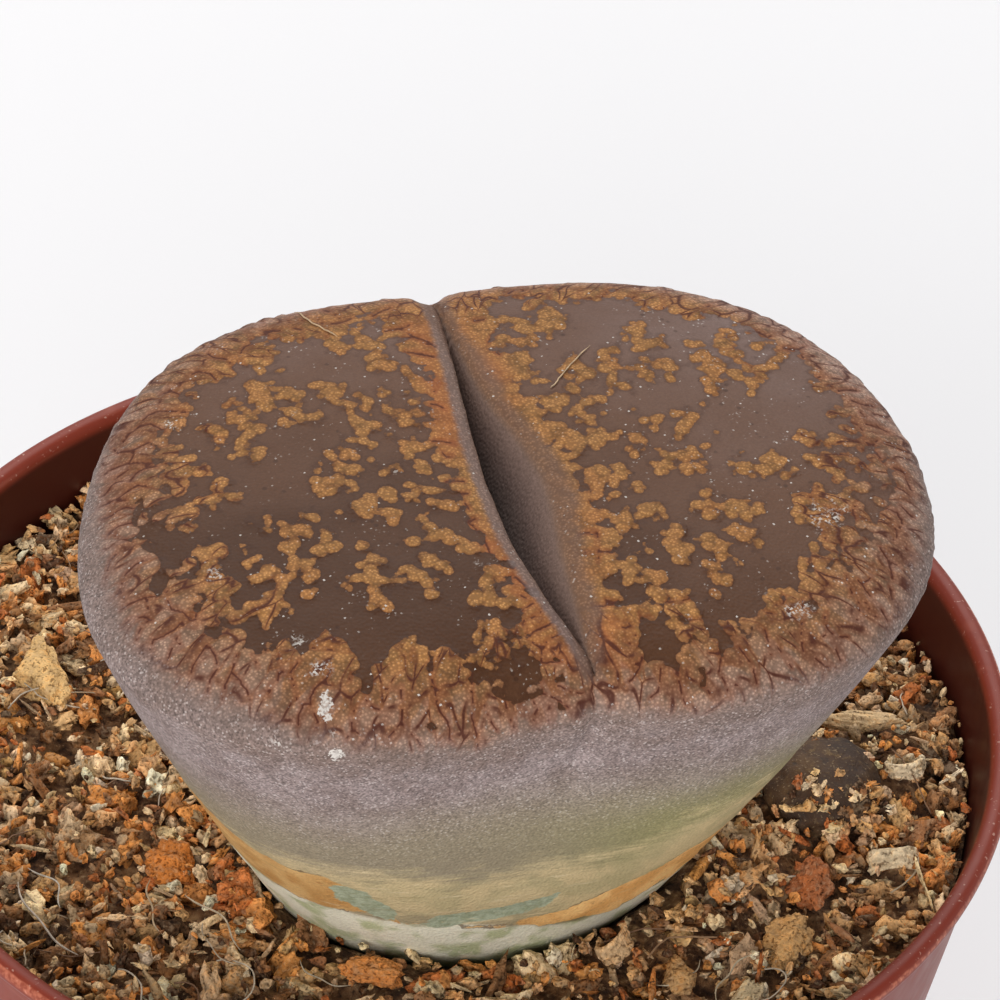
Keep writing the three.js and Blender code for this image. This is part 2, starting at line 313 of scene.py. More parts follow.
ZONE_R = [(498,299),(530,298),(549,298),(560,302),(590,301),(604,297),(632,299),(640,306),(655,312),(663,309),(671,311),(682,318),(693,320),
 (703,316),(716,319),(728,318),(737,323),(748,331),(762,338),(772,341),(783,348),(798,351),(803,358),(807,367),(816,378),(826,387),(838,391),(839,398),(846,404),
 (850,415),(851,423),(862,431),(862,438),(868,447),(877,448),(881,457),(889,462),(894,470),(893,480),(899,489),(888,499),(889,507),(880,512),(876,523),(872,537),(880,547),(866,546),
 (850,543),(842,547),(840,556),(846,564),(852,566),(851,574),(843,573),(830,568),(812,571),(801,573),(799,582),(803,592),(812,602),(823,606),(826,613),(820,612),(808,606),(802,600),(798,592),(786,590),(784,598),(781,592),(770,590),(765,597),
 (765,610),(758,615),(752,622),(752,631),(744,636),(737,641),(735,646),(725,648),(722,658),(719,647),(717,641),(708,641),(700,643),(683,648),(679,655),
 (680,665),(677,669),(671,665),(660,662),(648,663),(643,669),(642,657),(640,651),(632,655),(638,646),(640,638),(641,628),(636,618),(626,607),(612,605),(622,600),(620,590),(607,588),(603,582),(610,577),(619,574),
 (619,560),(613,553),(619,545),(619,533),(612,527),(600,529),(604,519),(612,515),(608,506),(596,508),(588,503),(597,500),(604,490),(609,478),(606,468),(596,463),(580,469),(572,462),(584,455),(588,448),
 (600,447),(612,436),(624,430),(606,432),(597,424),(590,436),(574,430),(560,423),(545,421),(548,415),(560,410),(568,403),(566,395),(556,391),(540,397),(532,398),(521,393),(520,383),(507,380),(512,377),
 (520,378),(532,372),(528,362),(527,352),(515,350),(502,357),(496,352),(486,346),(490,340),(498,330),(506,328),(500,322),(495,318),(488,314),(489,307)]
# grown tissue inside the window zones: (x, y, r) or (x1, y1, x2, y2, r)
ISLANDS = [
 (188,395,194,395,3.5),(181,407,188,405,4),(226,405,234,403,3),(238,409,245,409,2.2),(230,419,252,418,4.6),(243,425,4),(249,429,260,429,3.6),
 (204,428,226,432,4.8),(216,437,5.5),(220,445,4),(249,385,257,384,4.6),(256,398,270,403,6),(240,440,254,437,4.6),(155,443,166,438,3.4),
 (145,451,149,457,6),(163,452,181,449,4.6),(165,461,194,459,4.2),(170,469,205,471,6),(168,480,186,478,5),(178,490,8.5),(155,495,160,497,6),
 (140,520,145,513,3.6),(155,521,164,514,3.8),(165,525,172,524,3),(175,519,5.5),(178,515,190,512,6.5),(189,527,6.2),(195,516,4.5),(142,543,149,541,1.9),
 (200,501,213,505,5),(217,491,237,499,5),(215,484,220,482,4),(226,483,232,482,3),(231,457,2.6),(240,450,262,450,3.4),(255,458,7.5),
 (203,553,222,552,7.5),(209,566,9.5),(198,575,205,574,4),(186,563,191,563,5.5),(168,573,176,574,5.5),(175,586,4.5),(212,588,228,587,10.5),(212,604,223,604,8),(201,616,213,620,8),
 (190,613,3),(234,618,262,605,6.3),(245,564,258,559,3.3),(242,548,249,546,1.8),(261,531,268,530,3.4),(266,518,270,517,2.2),(248,523,252,523,1.4),
 (256,388,4.5),(264,394,267,402,7.5),(252,397,4.5),(268,385,3.5),(250,418,256,419,4),(250,428,258,428,4.5),
 (270,340,3),(357,336,362,338,4),(354,333,4),(361,345,379,346,5.6),(331,342,342,349,6.6),(361,322,372,323,2.3),(386,333,394,335,3.8),(371,357,388,360,4),(371,366,392,366,5.8),
 (406,371,414,380,6),(418,384,424,388,5),(262,369,3),(278,371,282,371,2.4),(284,393,300,398,6),(290,412,296,413,6),(302,420,319,418,5.6),(283,422,286,424,4.4),
 (309,386,322,384,2.9),(320,392,336,390,5.6),(325,397,342,405,4),(345,405,351,408,4.7),(343,387,4.3),(360,395,369,405,5),(381,392,389,394,3.6),(401,393,410,394,2.8),
 (388,411,395,417,5.6),(400,414,428,414,3.6),(400,423,425,424,3.8),(411,403,428,406,3.6),(354,421,362,427,5.4),(362,427,376,427,6),(357,432,3),(360,441,372,445,3.6),(364,436,3.6),
 (343,439,352,439,1.8),(342,451,353,456,4.6),(326,453,330,453,3.2),(372,461,375,463,2.6),(336,463,340,469,4.6),(343,469,356,469,5.3),(317,466,317,470,4),
 (386,437,393,436,3),(405,446,415,444,4.6),(409,450,410,457,5.6),(418,447,427,449,3.2),(429,443,434,443,4.8),(388,471,398,467,4.6),(384,472,2.6),(423,467,428,469,5.6),
 (436,456,446,455,4),(445,465,4.4),(446,479,5),(315,482,335,484,5.5),(318,492,336,489,4.8),(343,481,353,487,4),(385,491,392,495,7),(408,498,416,498,3.4),
 (366,498,369,503,3.8),(372,507,6.6),(354,507,362,513,6),(340,512,346,512,1.8),(387,513,395,514,6),(392,519,6.4),(303,517,315,517,3.9),
 (283,527,292,530,4.8),(293,534,8.5),(303,531,8.5),(284,548,296,544,5.6),(326,534,331,535,4.8),(407,484,415,486,2.2),(420,489,447,493,4),(432,504,456,505,5),
 (410,541,418,542,5),(421,520,428,527,4.6),(432,533,445,535,6),(448,538,458,540,4.6),(463,547,480,550,5.6),(452,486,458,489,5),
 (254,580,268,577,5.2),(266,570,278,574,6.6),(283,581,6.8),(280,590,275,597,6.8),(278,602,272,610,6.8),(262,606,275,604,6.5),(268,616,265,624,4.8),
 (294,562,295,572,5.8),(305,565,8),(311,577,7.2),(305,594,311,594,5.2),(320,549,334,546,6.6),(319,553,5.2),(360,547,369,548,4.3),(290,612,2.1),
 (362,566,370,562,3.8),(372,561,384,563,5.3),(370,571,4.6),(352,578,376,576,4.2),(347,585,4.2),(374,578,391,582,4.2),(375,585,377,598,6),(371,606,378,606,4.8),(388,607,5.6),
 (420,557,432,557,4.3),(432,561,448,567,5.6),(440,570,4.6),(404,569,411,567,4.4),(412,572,425,578,6.4),(406,583,4.6),(428,584,5.6),(429,596,438,595,4.8),
 (486,569,503,573,6.6),(487,578,490,590,6.6),(493,598,6.4),(477,595,476,602,7.6),(505,602,518,600,7.2),(507,610,3.8),(481,627,494,624,4.7),(476,639,4.2),
 (497,635,520,630,6.2),(493,645,6.2),(505,640,503,655,5.2),(497,657,4.2),(518,645,525,642,4.2),(475,658,484,655,5.3),(480,663,4.6),(494,668,3.6),(521,667,3.3),
 (500,682,2.3),(503,694,2.3),(520,692,2.6),(529,693,537,687,3.8),(518,702,4.3),(266,645,266,652,2.4),
 # right leaf
 (528,306,541,301,5.4),(546,313,551,312,6),(543,322,562,322,6.6),(549,330,6.6),(579,371,592,374,7),(564,372,567,366,4.6),(575,359,4.2),(566,389,575,389,5.7),(583,404,600,400,5.2),
 (572,413,580,413,3.8),(592,418,602,414,2),(576,422,588,421,3.4),(540,381,548,380,1.4),(521,324,529,327,6),(503,320,514,322,5),(525,333,4.6),(522,345,530,341,6.5),(497,345,505,341,6.8),
 (508,360,524,359,6.6),(523,371,7),(534,377,4.6),(592,437,602,437,6),(604,438,620,432,3.7),
 (627,333,640,327,5.6),(638,336,5.6),(640,346,659,343,7),(604,352,615,348,5.2),(603,358,5.6),(602,367,612,364,5.6),(612,375,6),(611,382,610,386,5.6),(618,387,628,384,3.6),(631,391,3),
 (647,362,5.6),(631,367,640,366,4.2),(645,373,649,375,5.8),(660,364,672,367,5.7),(668,376,6.2),(686,344,695,346,3.7),(704,351,5.6),(694,359,702,356,5.2),(708,361,4.8),
 (708,368,722,367,6.1),(711,380,7),(712,388,7.4),(723,333,735,335,3.7),(719,344,733,353,5.8),(727,342,5),(740,357,2.6),(754,345,762,345,4),(732,375,738,375,5.4),(751,383,752,391,4.6),
 (745,365,3.7),(750,369,760,374,4.7),(758,377,4.2),(762,370,780,357,5),(782,355,5.6),(706,402,706,405,3.3),(675,414,690,415,3.8),(694,418,4.4),(684,424,679,433,6.4),(645,421,4.7),
 (652,418,660,418,3.2),(656,420,655,430,2.8),(631,410,2),(716,433,2.6),(703,448,709,445,2.2),(633,437,640,436,4.4),(631,447,4.6),(641,446,4.6),(635,452,4.6),
 (663,452,668,460,4.6),(670,460,680,456,4.8),(685,455,695,454,5.2),(690,450,4),(658,470,668,464,5.2),(684,468,696,467,5),(703,468,709,468,2.1),(733,455,739,455,2.1),(648,463,653,462,2.4),
 (619,468,621,472,7.4),(614,481,6),(633,488,640,486,4),(609,496,618,494,3.5),(733,467,745,468,4.3),(750,468,6.6),(770,460,8.6),(762,470,778,467,6.6),(782,461,3.7),(787,475,797,473,3.6),
 (702,492,710,494,2.9),(694,506,707,505,5.2),(707,513,718,518,4.2),(727,508,740,507,7.4),(742,516,4),(745,503,3.6),(750,514,758,508,5.2),(643,511,658,508,6.6),(662,516,4),
 (625,515,7),(618,524,632,524,5.2),(626,533,2.7),(667,533,676,534,4.8),(681,531,6.6),(672,543,685,550,8),(677,557,5.8),(686,561,4.8),(708,540,720,550,8.8),(734,528,742,535,6.8),
 (748,537,755,532,4.7),(757,543,3.8),(738,562,741,567,2.7),(707,567,715,571,5.6),(720,577,728,580,5.6),(713,591,720,597,3.6),(726,627,731,630,6),
 (631,563,6),(628,576,9),(637,569,645,573,4),(647,580,660,577,6),(634,609,634,615,5.7),(645,611,650,611,6.2),(650,621,4.4),(629,622,637,631,3.6),(655,592,660,594,7),(675,597,683,596,6.1),
 (672,607,685,612,8.6),(697,612,6.2),(673,621,5.8),(685,633,697,628,8.2),(700,634,6),(745,623,749,625,3.8),(644,548,2.6),(640,553,650,554,1.3),
 (800,435,812,442,5.6),(820,441,828,443,3.3),(833,437,845,444,4.8),(852,442,862,447,4.8),(846,428,860,431,4.4),(832,413,845,413,4.8),(810,385,820,388,3.4),
 (806,459,840,457,4.3),(845,459,862,467,4.8),(822,463,840,472,4.8),(836,478,4.6),(872,460,882,471,5.8),(879,476,888,484,5.8),(868,478,3.6),(854,486,868,488,4.7),(873,498,881,503,4.1),
 (801,501,8.2),(801,513,8.4),(818,492,7.4),(815,500,838,503,8),(812,520,836,512,8),(830,533,8.6),(830,540,850,533,8),(845,498,858,512,7.6),(840,508,6),(862,525,8),(852,538,862,540,5),
 (801,563,806,566,4.4),(815,558,826,565,5),(834,554,843,566,5.4),(813,544,2.4),(816,550,2),(640,487,2)]
# window pockets in the tissue
HOLES = [(541,405,4.6),(520,380,512,379,2.2),(524,394,4.6),(546,420,553,419,2.6),(545,445,554,443,1.7),(563,447,568,449,3.4),(574,463,582,462,4),(580,475,4),(584,490,588,491,3.2),
 (590,537,3.4),(610,519,600,524,3.6),(612,582,618,582,6.4),(578,575,583,572,1.9),(503,565,509,565,3.2),(506,578,515,582,2),(528,592,534,594,3.1),(500,592,504,594,3.6),(440,468,452,474,5),
 (445,498,462,500,3.4),(444,514,464,516,4.4),(432,520,445,523,4.4),(424,398,432,399,2.6),(421,367,432,375,3.8),(472,534,480,541,4.4),(834,517,852,518,3),(860,532,870,532,3.2),
 (512,640,512,653,3.6),(846,565,850,572,4),(863,584,3.8),(825,588,2.6),(805,603,822,610,3),(555,660,563,662,1.8),(558,680,562,678,3),(560,706,568,709,2),(702,670,703,684,2.6),(427,725,433,727,2.4),
 (610,294,3.4),(576,308,3),(199,606,197,616,3),(165,578,159,590,4.4),(612,552,618,549,2),(500,330,494,336,2.6),(368,662,366,690,3.4),(641,640,645,655,4),(748,636,2),(430,664,433,688,2.1),(471,676,471,692,2.6)]
# crevices between cells, with their widths
CHANNELS = [
 (1.9,[(431,660),(432,680),(435,690),(436,700),(440,712),(447,720),(450,730),(449,740)]),(1.2,[(436,690),(442,691),(447,695)]),(1.2,[(436,702),(425,703)]),(1.1,[(450,738),(442,744)]),(1.1,[(450,738),(454,743)]),
 (2.1,[(473,672),(471,690),(474,705),(472,717),(474,725),(477,735),(478,750)]),(1.7,[(484,703),(487,712),(491,722),(497,730)]),(1.7,[(505,700),(507,712),(511,720),(515,730)]),(1.4,[(520,705),(523,715)]),
 (1.5,[(533,700),(537,710),(533,718),(535,722)]),(1.2,[(545,705),(555,712)]),(1.3,[(540,713),(548,720),(555,726)]),(1.7,[(541,693),(552,697),(562,702),(569,708)]),(1.5,[(541,682),(560,686),(573,693),(583,693)]),
 (1.5,[(430,725),(433,731)]),(1.6,[(253,655),(258,668)]),(1.7,[(279,655),(280,668),(278,680),(271,685),(269,697)]),(1.5,[(282,672),(290,673),(293,682),(296,692),(297,700)]),(2.4,[(331,669),(326,680)]),
 (2.0,[(321,683),(314,690),(310,700),(303,706),(299,715),(298,725)]),(1.6,[(310,700),(313,712),(318,722),(315,732)]),(1.4,[(300,660),(290,673)]),(1.3,[(321,683),(333,686)]),(2.0,[(352,674),(349,682)]),
 (1.7,[(352,730),(345,742)]),(2.1,[(366,684),(366,700),(372,707),(382,711)]),(1.7,[(365,701),(356,708),(351,715),(352,725),(359,735)]),(1.5,[(401,690),(385,689)]),(2.0,[(401,686),(402,710),(402,722),(395,730),(388,738)]),
 (1.6,[(402,724),(410,733),(418,740),(422,748)]),(1.3,[(408,695),(413,699)]),(1.2,[(413,650),(412,660)]),(1.3,[(240,683),(247,690)]),(1.2,[(255,697),(270,690)]),(1.1,[(312,648),(330,650),(352,652)]),
 (1.6,[(150,558),(135,565),(125,575),(120,590),(125,600)]),(2.0,[(117,553),(110,560),(107,575),(103,590)]),(1.6,[(120,592),(112,600),(104,610)]),(1.6,[(156,597),(145,598),(130,604),(120,611)]),
 (1.9,[(152,621),(145,617),(130,620),(122,628)]),(1.5,[(150,619),(140,630),(136,642)]),(1.8,[(167,590),(167,600),(172,610),(185,613),(190,620)]),(1.8,[(184,620),(175,630),(162,637),(153,640),(150,650)]),
 (1.6,[(178,636),(172,648),(168,660)]),(1.4,[(178,640),(183,650)]),(1.9,[(207,645),(200,655),(194,665),(190,675)]),(1.9,[(208,645),(215,655),(218,668),(210,680),(207,695)]),(2.0,[(237,655),(232,672),(225,685),(223,700)]),
 (1.6,[(232,672),(240,680),(247,690),(250,700)]),(1.3,[(147,600),(149,615)]),(1.3,[(196,612),(196,628),(183,625)]),
 (1.6,[(158,466),(144,469),(136,473),(129,483)]),(1.5,[(150,487),(137,485),(128,490),(118,499),(108,501)]),(1.4,[(129,468),(118,476),(106,480)]),(1.5,[(127,480),(116,482),(108,490),(101,496)]),(1.4,[(134,508),(124,507),(112,514),(101,520)]),
 (1.5,[(130,541),(118,538),(110,530),(106,537)]),(1.6,[(133,522),(120,525),(112,530)]),(1.4,[(127,500),(112,502),(100,505),(94,512)]),(1.6,[(150,442),(141,446),(131,452),(118,453),(112,448)]),(1.4,[(153,463),(140,463),(126,463),(112,468),(102,475)]),
 (1.4,[(135,452),(130,461)]),(1.5,[(165,431),(150,424),(139,426),(129,433),(122,441)]),(1.5,[(186,412),(172,411),(161,411),(150,414),(142,420)]),(1.3,[(181,395),(172,391),(160,394)]),(1.3,[(172,391),(169,386)]),
 (1.4,[(216,380),(210,374),(197,372),(190,376)]),(1.4,[(234,370),(228,360),(214,358),(208,354)]),(1.4,[(243,366),(240,355),(244,347),(252,344)]),(1.3,[(252,342),(250,335),(244,330)]),(1.3,[(277,341),(269,336),(262,330),(263,322)]),
 (1.3,[(303,340),(302,330),(292,328),(288,320)]),(1.2,[(327,337),(325,325),(318,320)]),(1.2,[(330,324),(345,322),(352,318)]),(1.2,[(262,336),(270,331),(280,331)]),(1.3,[(300,323),(306,316),(302,310)]),(1.3,[(372,317),(380,312),(392,308)]),
 (1.3,[(385,331),(400,329),(410,325)]),(1.2,[(402,330),(416,338),(428,345)]),(1.3,[(398,341),(412,337),(425,340),(436,348)]),(1.6,[(405,352),(420,354),(435,357)]),(1.2,[(340,318),(330,312),(322,310)]),
 (1.4,[(434,392),(438,384),(430,380),(424,375)]),(1.4,[(430,404),(440,406),(445,410)]),(1.4,[(432,441),(445,442),(455,445)]),(1.5,[(441,452),(448,458),(452,456)]),(1.4,[(446,482),(457,481),(464,482)]),
 (1.5,[(452,497),(462,494),(468,494)]),(1.5,[(465,503),(470,510)]),(2.0,[(466,521),(475,527),(478,535)]),(1.5,[(470,521),(478,518)]),(1.4,[(487,545),(495,546)]),(1.7,[(484,541),(489,550),(490,560)]),
 (1.5,[(505,560),(515,570),(512,577)]),(2.2,[(516,577),(525,586),(535,595)]),(1.5,[(513,592),(528,599)]),(1.6,[(537,601),(528,607),(521,612)]),(1.5,[(546,608),(535,617),(524,621)]),
 (2.3,[(556,621),(545,627),(532,633),(528,637)]),(1.5,[(522,624),(529,632)]),(1.8,[(561,634),(548,640),(542,650),(541,662),(545,663),(560,661)]),(1.5,[(541,648),(532,642)]),
 (1.9,[(582,611),(590,607),(603,606),(614,604)]),(1.6,[(598,533),(597,545),(600,553),(598,562)]),(1.5,[(576,536),(585,533),(596,532)]),(1.4,[(600,552),(612,552)]),(1.5,[(605,600),(618,603)]),(1.3,[(585,553),(598,551)]),
 (1.5,[(612,623),(620,627),(628,629),(636,636)]),(1.4,[(626,620),(632,626)]),(1.7,[(625,640),(632,645),(638,645)]),(1.9,[(642,657),(640,667),(632,680),(625,684)]),(1.4,[(621,665),(630,666),(640,662)]),
 (1.8,[(661,668),(660,685),(658,692),(650,698)]),(1.3,[(660,675),(670,672)]),(2.0,[(677,666),(679,680),(682,695),(686,705)]),(1.3,[(678,685),(672,690)]),(1.8,[(703,684),(710,693),(713,698)]),(1.5,[(718,654),(708,653)]),
 (1.9,[(720,650),(720,660),(719,672),(725,682),(728,692),(730,698)]),(1.5,[(726,680),(738,686)]),(1.4,[(725,661),(733,663)]),(1.9,[(737,645),(747,658),(753,668),(757,684)]),(1.5,[(765,630),(770,648),(771,655)]),
 (1.6,[(775,645),(780,650),(786,660),(792,668)]),(1.6,[(802,600),(804,616),(801,628),(802,645),(805,658)]),(1.7,[(826,613),(824,622),(829,632),(822,638)]),(1.4,[(829,632),(838,637),(848,637)]),(1.4,[(832,642),(837,652),(841,662)]),
 (1.6,[(815,658),(822,664),(828,668)]),(1.6,[(858,597),(860,610),(857,620)]),(1.5,[(866,603),(870,612),(877,618)]),(1.4,[(880,608),(885,616),(888,622)]),(1.7,[(880,548),(888,558),(891,568),(894,580)]),(1.4,[(888,560),(900,565)]),
 (1.7,[(872,565),(871,578),(862,584),(858,580)]),(1.6,[(863,586),(870,595),(873,602)]),(1.5,[(846,575),(848,585),(853,594),(850,596)]),(1.4,[(893,592),(890,585),(893,600)]),(1.5,[(893,540),(898,536),(895,525)]),(1.4,[(905,545),(912,556)]),
 (1.6,[(886,508),(896,512),(903,520),(900,530)]),(1.5,[(900,505),(908,512),(914,517)]),(1.5,[(894,485),(903,490),(912,495)]),(1.6,[(893,466),(902,470),(908,475)]),(1.5,[(870,447),(878,455),(884,462)]),(1.4,[(906,477),(912,490)]),
 (1.4,[(864,438),(870,448),(878,440)]),(1.5,[(862,431),(858,424),(846,421)]),(1.4,[(866,424),(878,426),(890,432)]),(1.5,[(850,400),(860,404),(874,406)]),(1.5,[(838,391),(848,390),(858,390)]),(1.4,[(860,413),(866,418)]),
 (1.3,[(803,358),(800,350),(806,346)]),(1.4,[(783,348),(798,350),(802,347)]),(1.3,[(768,338),(775,334)]),(1.3,[(748,331),(757,332),(765,336)]),(1.3,[(703,316),(704,309),(710,306)]),(1.3,[(664,309),(663,300),(660,295)]),
 (1.3,[(632,299),(636,296)]),(1.2,[(602,297),(606,292)]),(1.2,[(579,300),(580,291)]),(1.2,[(549,298),(550,289)]),(1.2,[(524,297),(523,290)]),(1.4,[(508,294),(514,291)]),(1.4,[(474,321),(484,320)]),(1.4,[(488,342),(495,334)]),(1.3,[(500,355),(495,352)]),
 (1.2,[(815,378),(826,376)]),(1.3,[(858,500),(852,512),(856,520)]),(1.2,[(826,507),(838,513),(846,512)]),(1.3,[(811,488),(810,498),(814,503)]),(1.3,[(820,528),(826,540)]),(1.3,[(776,605),(784,604),(784,596)]),(1.2,[(765,612),(775,615)]),
 (1.2,[(766,634),(758,628)]),(1.2,[(640,612),(641,622)]),(1.2,[(652,617),(646,616)]),(1.3,[(690,598),(680,602),(667,602)]),(1.2,[(703,620),(693,619),(684,622)])]

# field of the markings on a fine front-view raster, worked out from the drawn shapes
GX0, GY0, GW, GH = 60, 260, 900, 540
_gx, _gy = np.meshgrid(np.arange(GX0, GX0 + GW, 1.0), np.arange(GY0, GY0 + GH, 1.0))


def soft_union(items, k=1.6, reach=26):
    acc = np.zeros(_gx.shape)
    for c in items:
        x1, y1, x2, y2, r = (c[0], c[1], c[0], c[1], c[2]) if len(c) == 3 else c
        m = reach + r
        i0, i1 = int(max(0, min(y1, y2) - m - GY0)), int(min(GH, max(y1, y2) + m - GY0))
        j0, j1 = int(max(0, min(x1, x2) - m - GX0)), int(min(GW, max(x1, x2) + m - GX0))
        if i1 <= i0 or j1 <= j0:
            continue
        d = seg(_gx[i0:i1, j0:j1], _gy[i0:i1, j0:j1], x1, y1, x2, y2) - r
        acc[i0:i1, j0:j1] += np.exp(-np.clip(d, -60, reach) / k)
    return np.minimum(-k * np.log(acc + 1e-12), reach)


FIELD_ZONE = np.maximum(polygon_field(_gx, _gy, ZONE_L), polygon_field(_gx, _gy, ZONE_R))
_crack = np.full(_gx.shape, 30.0)
for width, pts in CHANNELS:
    for a, b in zip(pts[:-1], pts[1:]):
        m = 32
        i0, i1 = int(max(0, min(a[1], b[1]) - m - GY0)), int(min(GH, max(a[1], b[1]) + m - GY0))
        j0, j1 = int(max(0, min(a[0], b[0]) - m - GX0)), int(min(GW, max(a[0], b[0]) + m - GX0))
        _crack[i0:i1, j0:j1] = np.minimum(_crack[i0:i1, j0:j1], seg(_gx[i0:i1, j0:j1], _gy[i0:i1, j0:j1], *a, *b) - 0.27 * width)
FIELD_CRACK = _crack
FIELD_WIN = np.maximum(np.minimum(FIELD_ZONE, soft_union(ISLANDS)), -soft_union(HOLES))


def field_at(field, px, py):
    x, y = np.clip(px - GX0, 0, GW - 1.001), np.clip(py - GY0, 0, GH - 1.001)
    i, j = y.astype(int), x.astype(int)
    fx, fy = x - j, y - i
    return (field[i, j] * (1 - fx) + field[i, j + 1] * fx) * (1 - fy) + (field[i + 1, j] * (1 - fx) + field[i + 1, j + 1] * fx) * fy


# ------------------------------------------------------------------ leaf pair: shape
OUTLINE = [17.8854, 0.6798, -0.3145, 1.6177, 1.3115, 0.5113, -0.212, -0.533, -0.5527]
SHIFT = np.array([0.1472, 0.0183])
BODY_H, CROWN_H, CROWN_EXP, BASE_SCALE, FLANK_EXP = 19.98, 3.0608, 3.2687, 0.5227, 1.1087
BODY_AT = np.array([1.9439, -5.1613, 45.0077])
RB = OUTLINE[0]


def outline(t, c=OUTLINE):
    r = np.full(np.shape(t), float(c[0]))
    for k in range(1, (len(c) + 1) // 2):
        r = r + c[2 * k - 1] * np.cos(k * t) + c[2 * k] * np.sin(k * t)
    return r


def base_outline(t):
    return outline(t, [OUTLINE[0], 0, 0, OUTLINE[3], OUTLINE[4]]) * BASE_SCALE


def to_pot(p):
    a, b = math.radians(1.7637), math.radians(0.4567)
    x, y, z = p[..., 0], p[..., 1], p[..., 2]
    y2, z2 = y * math.cos(b) + z * math.sin(b), -y * math.sin(b) + z * math.cos(b)
    return np.stack([x * math.cos(a) - z2 * math.sin(a), y2, x * math.sin(a) + z2 * math.cos(a)], -1) + BODY_AT


_phi = np.linspace(0, math.pi / 2, 4001)
_rho = np.sin(_phi) ** (2 / CROWN_EXP)
_arc = np.concatenate([[0], np.cumsum(np.hypot(RB * np.diff(_rho), CROWN_H * np.diff(np.cos(_phi))))])
SE = _arc[-1]                                    # way along the skin from the middle to the widest section
_w = np.linspace(0, 1.38, 2001)
_g = np.where(_w <= 1, _w ** FLANK_EXP, 1 + 0.25 * FLANK_EXP * (1 - np.exp(-(_w - 1) * 4)))
_arcf = np.concatenate([[0], np.cumsum(np.hypot(RB * (1 - BASE_SCALE) * np.diff(_g), BODY_H * np.diff(_w)))])


def body(sig, t):
    """Skin point (own frame), rho and w at a way sig along the skin and a turn t."""
    phi = np.interp(sig, _arc, _phi)
    rho = np.sin(phi) ** (2 / CROWN_EXP)
    w = np.interp(sig - SE, _arcf, _w)
    top = sig <= SE
    R, B = outline(t), base_outline(t)
    g = np.where(w <= 1, w ** FLANK_EXP, 1 + 0.25 * FLANK_EXP * (1 - np.exp(-(w - 1) * 4)))
    low = np.maximum(w - 1, 0) * 4
    rad = np.where(top, rho * R, 0)
    x = np.where(top, SHIFT[0] + rad * np.cos(t), (SHIFT[0] + R * np.cos(t)) * (1 - g) + (B - low) * np.cos(t) * g)
    y = np.where(top, SHIFT[1] + rad * np.sin(t), (SHIFT[1] + R * np.sin(t)) * (1 - g) + (B - low) * np.sin(t) * g)
    z = np.where(top, BODY_H + CROWN_H * np.cos(phi), BODY_H * (1 - w))
    return np.stack([x, y, z], -1), np.where(top, rho, 1.0), np.where(top, 0.0, w)


def plan_to_q(x, y):
    """From the leaf pair's plan to the unrolled skin map."""
    vx, vy = np.asarray(x, float) - SHIFT[0], np.asarray(y, float) - SHIFT[1]
    t = np.arctan2(vy, vx)
    rho = np.minimum(np.hypot(vx, vy) / outline(t), 1.0)
    k = np.interp(rho, _rho, _arc) / np.maximum(RB * rho, 1e-6)
    return vx * k, vy * k


LEFT_EDGE = [(-3.35, 13.9), (-2.71, 11.2), (-1.6, 5.98), (-0.68, 1.49), (0.17, -2.04), (1.46, -6.04), (3.13, -9.28), (4.51, -11.29), (5.44, -12.79), (5.62, -13.5)]
RIGHT_CREST = [(-3.15, 13.9), (-2.40, 11.2), (-0.47, 6.07), (0.55, 3.83), (2.0, 1.72), (3.45, -1.05), (3.97, -3.12), (4.55, -7.04), (5.08, -9.37), (5.50, -12.79), (5.72, -13.5)]
_lx, _ly = plan_to_q(*np.array(LEFT_EDGE).T)
_rx, _ry = plan_to_q(*np.array(RIGHT_CREST).T)


def smooth_curve(y, ys, xs):
    """Smooth curve through stations, by softening the straight one."""
    out = 0
    for o, k in ((-0.9, 1), (-0.45, 2), (0, 3), (0.45, 2), (0.9, 1)):
        out = out + k * np.interp(y + o, ys[::-1], xs[::-1])
    return out / 9


def fissure(qy):
    xl = smooth_curve(qy, _ly, _lx)
    xr = smooth_curve(qy, _ry, _rx)
    depth = np.interp(qy, [-13.9, -12.6, -11.3, -9.3, -7.0, -5.0, -3.1, -1.1, 1.6, 3.7, 6.0, 9.0, 11.2, 14.0],
                      [0.35, 1.0, 2.0, 3.4, 4.6, 5.6, 6.0, 6.0, 5.2, 4.2, 3.2, 2.2, 1.5, 0.9])
    fade = smooth(-14.2, -13.4, qy) * smooth(14.6, 13.8, qy)
    return xl, np.maximum(xr - xl, 0.12), depth * fade


# creases that carry the fissure on over both shoulders, in the unrolled map
CREASE_FRONT = [plan_to_q(5.5, -13.0), plan_to_q(5.73, -13.94), (6.15, -16.2), (6.4, -18.0), (6.5, -19.2)]
CREASE_BACK = [plan_to_q(-3.1, 13.4), (-3.75, 16.0), (-4.0, 18.0), (-4.2, 20.0)]


def polyline_distance(x, y, pts):
    d = np.full(np.shape(x), 1e9)
    for a, b in zip(pts[:-1], pts[1:]):
        d = np.minimum(d, seg(x, y, float(a[0]), float(a[1]), float(b[0]), float(b[1])))
    return d


